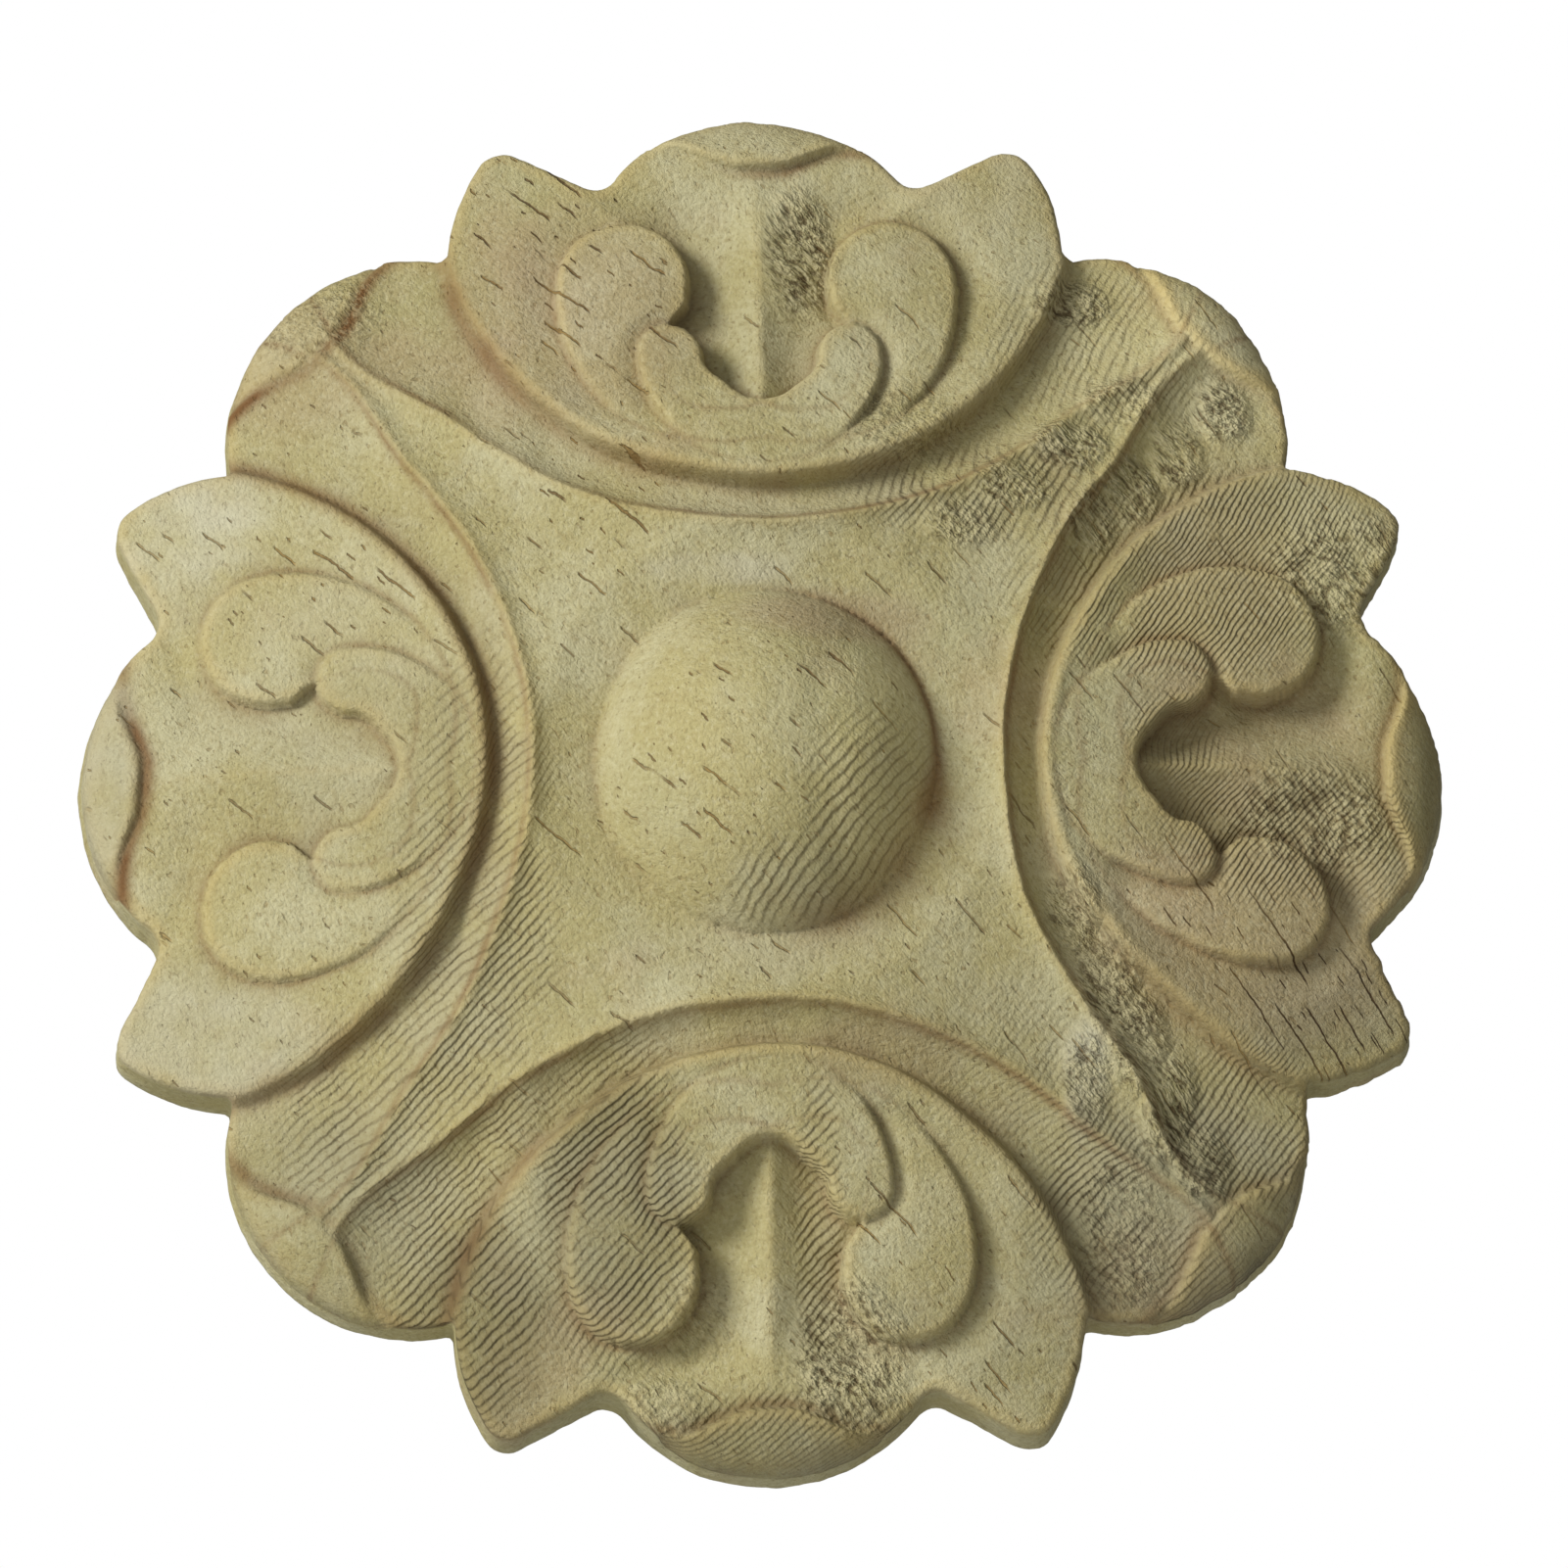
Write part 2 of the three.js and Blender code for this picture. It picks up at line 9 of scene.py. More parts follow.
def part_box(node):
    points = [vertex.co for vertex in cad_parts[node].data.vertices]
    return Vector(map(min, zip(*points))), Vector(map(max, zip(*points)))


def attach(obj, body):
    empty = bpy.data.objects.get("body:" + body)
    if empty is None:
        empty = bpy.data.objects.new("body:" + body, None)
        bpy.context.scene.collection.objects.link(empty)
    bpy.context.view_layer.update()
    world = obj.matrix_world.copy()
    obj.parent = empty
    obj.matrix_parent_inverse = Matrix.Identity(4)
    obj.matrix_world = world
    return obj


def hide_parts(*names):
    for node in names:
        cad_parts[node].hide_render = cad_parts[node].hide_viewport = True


# Carved wood rosette applique: one carved mesh in bare rubberwood.
# The carved face is a height over the flat back. Plan places are shares of the radius
# and heights are shares of the thickness. s runs out along a palmette's axis and t to
# its side, and the wedge 0 <= t <= s repeats in eight mirrored copies.
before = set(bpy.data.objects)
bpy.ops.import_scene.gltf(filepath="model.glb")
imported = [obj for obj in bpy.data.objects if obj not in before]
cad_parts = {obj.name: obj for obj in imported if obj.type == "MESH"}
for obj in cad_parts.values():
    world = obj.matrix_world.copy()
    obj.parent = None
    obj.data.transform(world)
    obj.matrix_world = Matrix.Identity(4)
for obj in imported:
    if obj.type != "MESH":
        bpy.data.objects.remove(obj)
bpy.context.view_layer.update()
low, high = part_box("rosette")

RADIUS = (high.x - low.x) / 2
RADIUS_IN_MM = 50
MM = RADIUS / RADIUS_IN_MM
THICKNESS = high.y - low.y
TALL = THICKNESS / RADIUS
STRETCH = (high.z - low.z) / (high.x - low.x)

# Outline: a circle is given by its centre and radius, an edge by a point and its angle
WALL_DRAFT = 0.008
LOBE_RADIUS = 0.264
LOBE_CENTRE = 1 - WALL_DRAFT - LOBE_RADIUS
CORE_RADIUS = 0.84
LEAF_ARC = (0.766, 0.17, 0.282)
LEAF_EDGE = (0.874, 0.24, math.radians(62))
LEAF_INNER_LIMIT = 0.16
LEAF_TIP_ROUND = 0.036
LEAF_NOTCH_ROUND = 0.032
PETAL_NOTCH_ROUND = 0.01

# Forms inside the outline; a tier's sizes go from its round end to its start
DOME_RADIUS = 0.248
STRAP_CURVE = (1.02, 0.676)
STRAP_SHOULDER = 0.344
STRAP_CLOSE = 0.052
BODY_CURVE = (0.882, 0.472)
BODY_SHOULDER = 0.44
BODY_WALL = 0.015
BODY_WALL_INSIDE = 0.7
BODY_EDGE_ROUND = 0.016
BODY_RIM = 0.06
DISH_REACH = 0.036
MID_CENTRE = (0.696, 0.064)
MID_REACH = 0.232
MID_WIDTH = (0.098, 0.024)
MID_END = math.radians(80)
MID_ROUND = 0.011
TOP_CENTRE = 0.604
TOP_REACH = (0.130, 0.119)
TOP_WIDTH = (0.050, 0.057, 0.055)
TOP_END = math.radians(90)
TOP_ROUND = 0.010
FOOT_REACH = (0.07, 0.03)
SCOOP_WIDTH = (0.115, 0.045, 0.12)
LIP_CUSP = 0.9
LIP_SWEEP = 0.034
LIP_HALF_WIDTH = 0.19
LIP_STEP = 0.009

# Where a form fades in: where it starts, and over how far
MID_TAPER = (math.radians(100), math.radians(70))
TOP_SWELL = (TOP_END, math.radians(42))
TOP_TAPER = (math.radians(130), math.radians(50))
STRAP_CLOSING = (0.66, 0.24)
DISH_FADE = (0.36, 0.32)
COVE_FADE = (0.36, 0.48)
MID_FADE = (0.5, 0.08)
MID_RISE = (0.48, 0.32)
MID_DIP_FADE = (0.46, 0.14)
TOP_RISE = (0.42, 0.22)
DIP_FADE = (0.48, 0.08)
DIP_OFF_AXIS = (0.04, 0.08)
TONGUE_RISE = (0.554, 0.34)
TONGUE_SIDE = (0.1, 0.07)
SCOOP_START = (0.1, 0.05)
SCOOP_BEHIND = (0, 0.04)
SCOOP_MIDDLE = (0.6, 0.12)
SCOOP_END = (0.78, 0.12)
SCOOP_FADE = (0.82, 0.09)
LIP_SIDE = (0.02, 0.116)
LIP_ROLL = (0.15, 0.85)

# Heights over the back, depths under the form round them, and how full the sections are
DOME_RISE = 0.365
STRAP_HEIGHT, STRAP_FALL = 0.677, 0.638
BODY_HEIGHT, BODY_FALL = 0.672, 0.755
DISH_DEPTH = (0.057, 0.029)
COVE_DEPTH = (0.070, 0.080)
COVE_POWER = 4.2
BODY_EDGE_DROP = 0.02
MID_LIFT = (-0.02, 0.040)
MID_FOOT_DIP = 0.028
MID_CROWN = 0.008
TOP_LIFT = (0.000, 0.036)
TOP_FOOT_DIP = 0.018
TOP_CROWN = 0.006
TONGUE_DEPTH = 0.052
SCOOP_DEPTH = 0.07
SCOOP_POWER = 1.15
LIP_EDGE = 0.135
LIP_HEIGHT = (0.362, 0.315)
LIP_SAG = (3.25, 6.5)
LIP_POWER = 1.6
LIP_SLACK = 0.05

# Fine beads along the crests and rims, and the worn rim of the carved face
CREST_HEIGHT, CREST_WIDTH = 0.010, 0.012
BEAD_HEIGHT, BEAD_PLACE, BEAD_WIDTH = 0.007, -0.014, 0.009
BEAD_FADE = (0.6, 0.25)
LIP_BEAD, LIP_BEAD_PLACE, LIP_BEAD_WIDTH = 0.010, 0.014, 0.012
RIM_ROUND = 0.010
RIM_DROP = 0.022

# Mesh: its steps in the plan, and the distances kept from the lines that it follows
FINE = 0.0044
ROW_STEP = FINE * math.sqrt(0.75)
WEDGE_REACH = 0.85
RIM_STEP = 0.007
RIM_SAMPLES = 4000
NEAR = 0.010
SNAP_REACH = 0.42 * FINE
SLOPE_STEP = 1e-5
LEAST_SLOPE_SQUARED = 0.25
AXIS_CLEARANCE = 0.55 * FINE
DIAGONAL_CLEARANCE = 1.5 * AXIS_CLEARANCE
RIM_CLEARANCE = 0.0015
CELL = 0.5 * FINE
MESHING_SCALE = 100
MESHING_TOLERANCE = 1e-6
LEAST_AREA = 1e-9
WELD_CELLS = 1e5
INSIDE_OUTLINE, OUTSIDE_OUTLINE = 0.75, 1.1
BISECTIONS = 40
QUARTER_TURNS = [(1, 0), (0, 1), (-1, 0), (0, -1)]

# Side wall and back: rows down the wall, its lean and foot, and rings over the back
WALL_LEVELS = (0.86, 0.7, 0.5, 0.3, 0.12, 0.03, 0)
WALL_LEAN = WALL_DRAFT * 0.8
FOOT_WEAR = 0.003
WALL_WAVE_PLACE = 1.5
BACK_RINGS = (0.9, 0.6, 0.3)


def ease(x):
    x = np.clip(x, 0, 1)
    return x * x * (3 - 2 * x)


def fade(x, start, over):
    """0 up to the start, 1 from there on by over."""
    return ease((x - start) / over)


def mix(a, b, share):
    return a + (b - a) * share


def bulge(x):
    """0 at an edge, rising steeply and rounding over to 1."""
    return np.sqrt(1 - (1 - np.clip(x, 0, 1)) ** 2)


def bell(x, place, width):
    """1 at the place, falling off to both sides."""
    return np.exp(-(((x - place) / width) ** 2))


def circle(s, t, centre_s, centre_t, r):
    """Distance in plan to a circle, negative inside it, as with all the contours here."""
    return np.hypot(s - centre_s, t - centre_t) - r


def join_round(a, b, r):
    """Two contours together, the notch between them rounded."""
    notch = np.hypot(np.maximum(r - a, 0), np.maximum(r - b, 0))
    return np.maximum(r, np.minimum(a, b)) - notch


def meet_round(a, b, r):
    """What two contours share, its corner rounded."""
    corner = np.hypot(np.maximum(r + a, 0), np.maximum(r + b, 0))
    return np.minimum(-r, np.maximum(a, b)) + corner


def folded(x, y):
    """A place on the face, folded into the wedge."""
    ax, ay = np.abs(x), np.abs(y)
    return np.maximum(ax, ay), np.minimum(ax, ay)


def petal_frame(s, t):
    """The place along and beside the axis of the petal between two palmettes."""
    return (s + t) * math.sqrt(0.5), np.abs(s - t) * math.sqrt(0.5)


def side_leaf(s, t):
    """The pointed leaf of a palmette, between its round arc and its straight inner edge."""
    edge_s, edge_t, angle = LEAF_EDGE
    edge = math.sin(angle) * (s - edge_s) - math.cos(angle) * (t - edge_t)
    leaf = meet_round(circle(s, t, *LEAF_ARC), edge, LEAF_TIP_ROUND)
    return np.maximum(leaf, LEAF_INNER_LIMIT - t)


def outline(s, t):
    a, b = petal_frame(s, t)
    lobe = circle(s, t, LOBE_CENTRE, 0, LOBE_RADIUS)
    petal = circle(a, b, LOBE_CENTRE, 0, LOBE_RADIUS)
    palmette_edge = join_round(lobe, side_leaf(s, t), LEAF_NOTCH_ROUND)
    rosette_edge = join_round(palmette_edge, petal, PETAL_NOTCH_ROUND)
    return np.minimum(rosette_edge, np.hypot(s, t) - CORE_RADIUS)


def to_crest(s, t):
    """The strap's crest beside a groove; the strap narrows towards the petal's lip."""
    closing = STRAP_CLOSE * fade(petal_frame(s, t)[0], *STRAP_CLOSING)
    return closing - circle(s, t, STRAP_CURVE[0], 0, STRAP_CURVE[1])


def to_body(s, t):
    return circle(s, t, BODY_CURVE[0], 0, BODY_CURVE[1])


def mid_tier(s, t):
    """The middle tier: a stroke beside the tongue, thin at the crest and broad at its end."""
    centre_s, centre_t = MID_CENTRE
    along = np.arctan2(t - centre_t, s - centre_s)
    along = np.where(along < -math.pi / 2, along + 2 * math.pi, along)
    width = mix(*MID_WIDTH, fade(along, *MID_TAPER))
    band = np.abs(circle(s, t, centre_s, centre_t, MID_REACH - width)) - width
    reach = MID_REACH - MID_WIDTH[0]
    end_s = centre_s + reach * math.cos(MID_END)
    end = circle(s, t, end_s, centre_t + reach * math.sin(MID_END), MID_WIDTH[0])
    return np.where(along > MID_END, band, end)


def top_tier(s, t):
    """The top tier: a horseshoe with thick arms that end round."""
    along = np.arctan2(t, s - TOP_CENTRE)
    swell = fade(along, *TOP_SWELL)
    width = mix(mix(*TOP_WIDTH[:2], swell), TOP_WIDTH[2], fade(along, *TOP_TAPER))
    band = np.abs(circle(s, t, TOP_CENTRE, 0, mix(*TOP_REACH, swell))) - width
    end_s = TOP_CENTRE + TOP_REACH[0] * math.cos(TOP_END)
    end = circle(s, t, end_s, TOP_REACH[0] * math.sin(TOP_END), TOP_WIDTH[0])
    return np.where(along > TOP_END, band, end)


def past_crease(a, b):
    """Distance past the crease behind a lip, a bracket with a cusp on the lobe's axis."""
    return a - LIP_CUSP - LIP_SWEEP * fade(b, *LIP_SIDE)


def lip(a, b, inner, top, sag):
    """The rolled lip at a lobe's tip, whose outer side rounds down to a low edge."""
    past = past_crease(a, b)
    rim = LOBE_CENTRE + np.sqrt(np.maximum(LOBE_RADIUS**2 - b * b, 0))
    across = np.clip(past / np.maximum(rim - a + past, 1e-6), 0, 1)
    crown = top - sag * b * b
    fall = np.clip((across - LIP_ROLL[0]) / LIP_ROLL[1], 0, 1)
    roll = mix(LIP_EDGE, crown, np.sqrt(1 - fall**LIP_POWER))
    roll = roll + LIP_BEAD * bell(past, LIP_BEAD_PLACE, LIP_BEAD_WIDTH)
    rolled = mix(inner, roll, ease(past / LIP_STEP))
    return np.where((past > 0) & (b < LIP_HALF_WIDTH), rolled, inner)


def tongue_drop(s, t):
    """The tongue starts low inside the horseshoe, with a scoop on each side of its ridge."""
    start, middle, end = SCOOP_WIDTH
    width = start + middle * fade(s, *SCOOP_MIDDLE) + end * fade(s, *SCOOP_END)
    scoop = SCOOP_DEPTH * np.sin(math.pi * np.clip(t / width, 0, 1)) ** SCOOP_POWER
    within = np.hypot(np.minimum(s - TOP_CENTRE, 0), t)
    depth = TONGUE_DEPTH * (1 - fade(s, *TONGUE_RISE)) * (1 - fade(within, *TONGUE_SIDE))
    behind = fade(TOP_CENTRE - s, *SCOOP_BEHIND) * fade(within, *SCOOP_START)
    return depth + scoop * (1 - fade(s, *SCOOP_FADE)) * (1 - behind)


def palmette(s, t, r, inside, relief):
    """A palmette's carved body: broad leaf, tongue, middle tier, top tier and lip."""
    mid, top = mid_tier(s, t), top_tier(s, t)
    leaf = BODY_HEIGHT - BODY_FALL * (r - BODY_SHOULDER)
    dips = ease(inside / BODY_RIM) * fade(r, *DIP_FADE) * fade(t, *DIP_OFF_AXIS)
    mid_dip = MID_FOOT_DIP * fade(r, *MID_DIP_FADE) * (1 - ease(mid / FOOT_REACH[0]))
    z = leaf - tongue_drop(s, t) - dips * mid_dip
    mid_top = leaf + mix(*MID_LIFT, fade(r, *MID_RISE)) + MID_CROWN * bulge(-mid / MID_WIDTH[0])
    z = z + np.maximum(mid_top - z, 0) * bulge(-mid / MID_ROUND) * fade(r, *MID_FADE)
    top_top = leaf + mix(*TOP_LIFT, fade(r, *TOP_RISE)) + TOP_CROWN * bulge(-top / TOP_WIDTH[1])
    z = z - dips * TOP_FOOT_DIP * (1 - ease(top / FOOT_REACH[1]))
    z = z + np.maximum(top_top - z, 0) * bulge(-top / TOP_ROUND)
    z = leaf + relief * (z - leaf)
    return lip(s, t, z, LIP_HEIGHT[0] - LIP_SLACK * (1 - relief), LIP_SAG[0])


def ground(r, crest, body, relief):
    """The star-shaped dish between the grooves, its crests, and the coves beyond them."""
    past = np.maximum(-crest, 0)
    dish = mix(*DISH_DEPTH, fade(r, *DISH_FADE)) * (1 - np.exp(-past / DISH_REACH))
    across = np.clip(crest / np.maximum(crest + np.maximum(body, 0), 1e-9), 0, 1)
    cove = relief * mix(*COVE_DEPTH, fade(r, *COVE_FADE)) * (1 - (1 - across) ** COVE_POWER)
    strap = STRAP_HEIGHT - STRAP_FALL * np.maximum(r - STRAP_SHOULDER, 0)
    return strap - np.where(crest > 0, cove, dish) + CREST_HEIGHT * bell(crest, 0, CREST_WIDTH)


def dome(r):
    rise = DOME_RISE * TALL
    sphere = (DOME_RADIUS**2 + rise**2) / (2 * rise)
    return 1 - (sphere - np.sqrt(np.maximum(sphere**2 - r * r, 0))) / TALL


def height(s, t, relief=1):
    """Height of the face; relief under 1 makes the tiers and grooves shallower there."""
    r = np.hypot(s, t)
    body = to_body(s, t)
    z = ground(r, to_crest(s, t), body, relief)
    a, b = petal_frame(s, t)
    z = lip(a, b, z, LIP_HEIGHT[1] - LIP_SLACK * (1 - relief), LIP_SAG[1])
    z = np.where(r < DOME_RADIUS, np.maximum(z, dome(r)), z)
    on_body = ease(BODY_WALL_INSIDE - body / BODY_WALL)
    edge = BODY_EDGE_DROP * (1 - bulge(-body / BODY_EDGE_ROUND))
    bead = BEAD_HEIGHT * bell(body, BEAD_PLACE, BEAD_WIDTH) * (1 - fade(r, *BEAD_FADE))
    z = mix(z, palmette(s, t, r, -body, relief) - edge + bead, on_body)
    return z - RIM_DROP * (1 - bulge(-outline(s, t) / RIM_ROUND))


def lobe_crease(s, t):
    return np.where(t < LIP_HALF_WIDTH, past_crease(s, t), 1)


def petal_crease(s, t):
    a, b = petal_frame(s, t)
    return np.where(b < LIP_HALF_WIDTH, past_crease(a, b), 1)


# Lines that the mesh follows: each has a distance and the offsets where it gets a row
WALL_ROWS = tuple(share * BODY_WALL for share in (BODY_WALL_INSIDE, 0.2, BODY_WALL_INSIDE - 1))
LIP_ROWS = (0, LIP_STEP / 2, LIP_STEP)
LINES = [
    (outline, (-0.002, -0.006, -RIM_ROUND)),
    (lambda s, t: np.hypot(s, t) - DOME_RADIUS, (0,)),
    (to_crest, (0,)),
    (to_body, (*WALL_ROWS, -BODY_EDGE_ROUND)),
    (mid_tier, (0.003, 0, -0.003, -0.007, -MID_ROUND)),
    (top_tier, (0.003, 0, -0.003, -0.006, -TOP_ROUND)),
    (lobe_crease, LIP_ROWS),
    (petal_crease, LIP_ROWS),
]


def nearest_row(line, rows, s, t):
    d = line(s, t)
    gaps = np.stack([d - row for row in rows])
    pick = np.argmin(np.abs(gaps), axis=0)
    return np.take_along_axis(gaps, pick[None], 0)[0]


def is_near(s, t):
    near = [np.abs(nearest_row(line, rows, s, t)) < NEAR for line, rows in LINES]
    return np.any(near, axis=0)


def snap(s, t, slide_s=1, slide_t=1):
    """Moves points beside a line onto its nearest row, sliding only in the allowed directions."""
    taken = np.zeros(s.shape, bool)
    h = SLOPE_STEP
    for line, rows in LINES:
        gap = nearest_row(line, rows, s, t)
        grad_s = (line(s + h, t) - line(s - h, t)) / (2 * h) * slide_s
        grad_t = (line(s, t + h) - line(s, t - h)) / (2 * h) * slide_t
        steep = grad_s**2 + grad_t**2
        close = (np.abs(gap) < SNAP_REACH) & (steep > LEAST_SLOPE_SQUARED) & ~taken
        step = np.where(close, gap / np.maximum(steep, LEAST_SLOPE_SQUARED), 0)
        s, t = s - step * grad_s, t - step * grad_t
        taken |= close
    return s, t


def outline_radius(angle):
    inner, outer = np.full(angle.shape, INSIDE_OUTLINE), np.full(angle.shape, OUTSIDE_OUTLINE)
    for _ in range(BISECTIONS):
        r = (inner + outer) / 2
        inside = outline(*folded(r * np.cos(angle), r * np.sin(angle))) < 0
        inner, outer = np.where(inside, r, inner), np.where(inside, outer, r)
    return inner


def rim_points():
    """Points along the wedge's outline, at even steps."""
    angle = np.linspace(0, math.pi / 4, RIM_SAMPLES)
    r = outline_radius(angle)
    s, t = r * np.cos(angle), r * np.sin(angle)
    run = np.concatenate([[0], np.cumsum(np.hypot(np.diff(s), np.diff(t)))])
    at = np.linspace(0, run[-1], int(round(run[-1] / RIM_STEP)) + 1)
    s, t = np.interp(at, run, s), np.interp(at, run, t)
    t[0] = 0
    s[-1] = t[-1] = (s[-1] + t[-1]) / 2
    return s, t


def side_points(end, slope):
    """Points along the palmette's axis (slope 0) or the petal's axis (slope 1)."""
    step = FINE / math.hypot(1, slope)
    s = np.arange(1, int(end / step)) * step
    if not slope:
        s = snap(s, 0 * s, 1, 0)[0]
    keep = is_near(s, slope * s) | (np.arange(len(s)) % 2 == 0)
    s = s[keep]
    s = s[s < end - 0.5 * step]
    return s, slope * s


def inner_points():
    """Points on a triangular grid inside the wedge, at every step only near the lines."""
    columns, rows = np.arange(1, int(1 / FINE)), np.arange(1, int(WEDGE_REACH / ROW_STEP))
    i, j = np.meshgrid(columns, rows)
    coarse = ((j % 2 == 0) & ((i + j // 2) % 2 == 0)).ravel()
    s = ((i + (j % 2) / 2) * FINE).ravel()
    t = (j * FINE * math.sqrt(0.75)).ravel()
    keep = (t < s) & (outline(s, t) < 0)
    s, t, coarse = s[keep], t[keep], coarse[keep]
    keep = coarse | is_near(s, t)
    s, t = snap(s[keep], t[keep])
    keep = (t > AXIS_CLEARANCE) & (s - t > DIAGONAL_CLEARANCE) & (outline(s, t) < -RIM_CLEARANCE)
    s, t = s[keep], t[keep]
    cell = np.round(np.stack([s, t], 1) / CELL).astype(int)
    _, first = np.unique(cell, axis=0, return_index=True)
    return s[first], t[first]


def wedge_mesh():
    """Plan and triangles of one wedge, and the points of its rim."""
    rim_s, rim_t = rim_points()
    axis = side_points(rim_s[0], 0)
    petal = side_points(rim_s[-1], 1)
    loop_s = np.concatenate([[0], axis[0], rim_s, petal[0][::-1]])
    loop_t = np.concatenate([[0], axis[1], rim_t, petal[1][::-1]])
    inner_s, inner_t = inner_points()
    count = len(loop_s)
    all_s = np.concatenate([loop_s, inner_s]) * MESHING_SCALE
    all_t = np.concatenate([loop_t, inner_t]) * MESHING_SCALE
    places = [Vector(p) for p in zip(all_s, all_t)]
    edges = [(k, (k + 1) % count) for k in range(count)]
    verts, _, faces, *_ = delaunay_2d_cdt(places, edges, [], 1, MESHING_TOLERANCE)
    plan = np.array([v[:] for v in verts], float) / MESHING_SCALE
    faces = np.array(faces)
    a, b, c = (plan[faces[:, k]] for k in range(3))
    turn = (b[:, 0] - a[:, 0]) * (c[:, 1] - a[:, 1]) - (c[:, 0] - a[:, 0]) * (b[:, 1] - a[:, 1])
    faces = np.where(turn[:, None] < 0, faces[:, ::-1], faces)
    return plan, faces[np.abs(turn) > LEAST_AREA], np.stack([rim_s, rim_t], 1)


def weld_cell(places):
    return np.round(places * WELD_CELLS).astype(np.int64)


def all_round(plan, faces):
    """Eight mirrored copies of the wedge, welded."""
    places, triangles = [], []
    for c, s in QUARTER_TURNS:
        for side in (1, -1):
            x, y = plan[:, 0], side * plan[:, 1]
            places.append(np.stack([c * x - s * y, s * x + c * y], 1))
            turned = faces if side > 0 else faces[:, ::-1]
            triangles.append(turned + len(plan) * (len(places) - 1))
    places = np.concatenate(places)
    triangles = np.concatenate(triangles)
    _, first, back = np.unique(weld_cell(places), axis=0, return_index=True, return_inverse=True)
    triangles = back.ravel()[triangles]
    whole = np.all(triangles != np.roll(triangles, 1, axis=1), axis=1)
    return places[first], triangles[whole]


def ring_order(places, rim):
    """Indices of the rim's vertices, in order round the outline."""
    index = {tuple(cell): n for n, cell in enumerate(weld_cell(places))}
    quarter = list(rim[:-1]) + [(q, p) for p, q in rim[:0:-1]]
    loop = []
    for c, s in QUARTER_TURNS:
        for u, v in quarter:
            i, j = weld_cell(np.array([c * u - s * v, s * u + c * v]))
            near = [(i + di, j + dj) for di in (0, -1, 1) for dj in (0, -1, 1)]
            loop.append(next(index[cell] for cell in near if cell in index))
    return np.array(loop)


# Unevenness: its strength, the length of its waves and its seed
UNEVEN = {
    "torn": (0.4, 0.05, 5),
    "stepped": (0.4, 0.08, 9),
    "slow cut": (0.006, 0.12, 11),
    "quick cut": (0.0025, 0.03, 15),
    "ragged": (1, 0.012, 21),
    "drift right": (0.0035, 0.16, 31),
    "drift up": (0.0035, 0.16, 41),
    "chips right": (1, 0.02, 34),
    "chips up": (1, 0.02, 44),
    "wall": (0.0015, 0.06, 51),
    "steps": (0.014, 0.25, 61),
    "scorch_and_shade": (0.6, 0.09, 71),
    "bleached_and_highlit": (0.8, 0.06, 81),
}
NOISE_CELLS = 64
NOISE_MIDDLE = 31.5
# Octaves of the unevenness: how much finer, how strong, and the step in the seed
OCTAVES = [(1, 1, 0), (2.1, 0.5, 1), (4.3, 0.25, 2)]
OCTAVE_TOTAL = 1.5


def smooth_noise(x, y, wave, seed):
    """Soft random field, about -1 to 1, over the plan; wave is in shares of the radius."""
    table = np.random.default_rng(seed).uniform(-1, 1, (NOISE_CELLS, NOISE_CELLS))
    u, v = x / wave + NOISE_MIDDLE, y / wave + NOISE_MIDDLE
    i, j = np.floor(u).astype(int), np.floor(v).astype(int)
    fu, fv = ease(u - i), ease(v - j)
    at = lambda p, q: table[p % NOISE_CELLS, q % NOISE_CELLS]
    return mix(mix(at(i, j), at(i + 1, j), fu), mix(at(i, j + 1), at(i + 1, j + 1), fu), fv)


def uneven(name, x, y):
    strength, wave, seed = UNEVEN[name]
    total = 0
    for finer, share, step in OCTAVES:
        total = total + share * smooth_noise(x, y, wave / finer, seed + step)
    return strength * (total / OCTAVE_TOTAL)


# Where the carving strays from its even pattern: plan centre, reach, and move
SHIFTS = [
    (0.60, -0.36, 0.36, 0.28, 0.018, 0.018),
    (0.88, -0.42, 0.16, 0.16, -0.004, 0.010),
    (-0.45, 0.10, 0.32, 0.36, 0.015, -0.006),
    (0.00, 0.60, 0.24, 0.18, 0.000, -0.010),
    (0.66, -0.68, 0.20, 0.16, 0.012, 0.012),
    (0.43, 0.00, 0.12, 0.34, -0.016, 0.000),
]
# The patches below give a plan centre, a reach to the side and up, and a strength.
# Places where the cutter tore the grain
TORN = [
    (0.06, 0.77, 0.045, 0.085, 1.0),
    (0.29, 0.35, 0.05, 0.03, 0.7),
    (0.37, 0.41, 0.05, 0.03, 0.9),
    (0.45, 0.47, 0.05, 0.03, 0.9),
    (0.53, 0.54, 0.05, 0.03, 0.7),
    (0.48, 0.36, 0.03, 0.04, 0.9),
    (0.54, 0.41, 0.035, 0.04, 1.0),
    (0.61, 0.47, 0.035, 0.04, 1.0),
    (0.68, 0.54, 0.035, 0.04, 0.9),
    (0.46, 0.70, 0.05, 0.03, 0.9),
    (0.86, 0.30, 0.10, 0.08, 0.8),
    (0.80, -0.07, 0.10, 0.07, 0.8),
    (0.44, -0.22, 0.03, 0.06, 0.9),
    (0.48, -0.32, 0.035, 0.06, 1.0),
    (0.52, -0.41, 0.035, 0.06, 1.0),
    (0.57, -0.50, 0.035, 0.06, 1.0),
    (0.62, -0.57, 0.035, 0.05, 0.8),
    (0.45, -0.46, 0.03, 0.06, 0.7),
    (0.50, -0.66, 0.06, 0.10, 0.6),
    (0.11, -0.84, 0.07, 0.09, 1.0),
    (-0.16, -0.90, 0.06, 0.04, 0.6),
    (-0.10, -0.78, 0.05, 0.06, 0.3),
    (0.20, 0.50, 0.07, 0.05, 0.4),
    (-0.66, 0.70, 0.10, 0.07, 0.4),
]
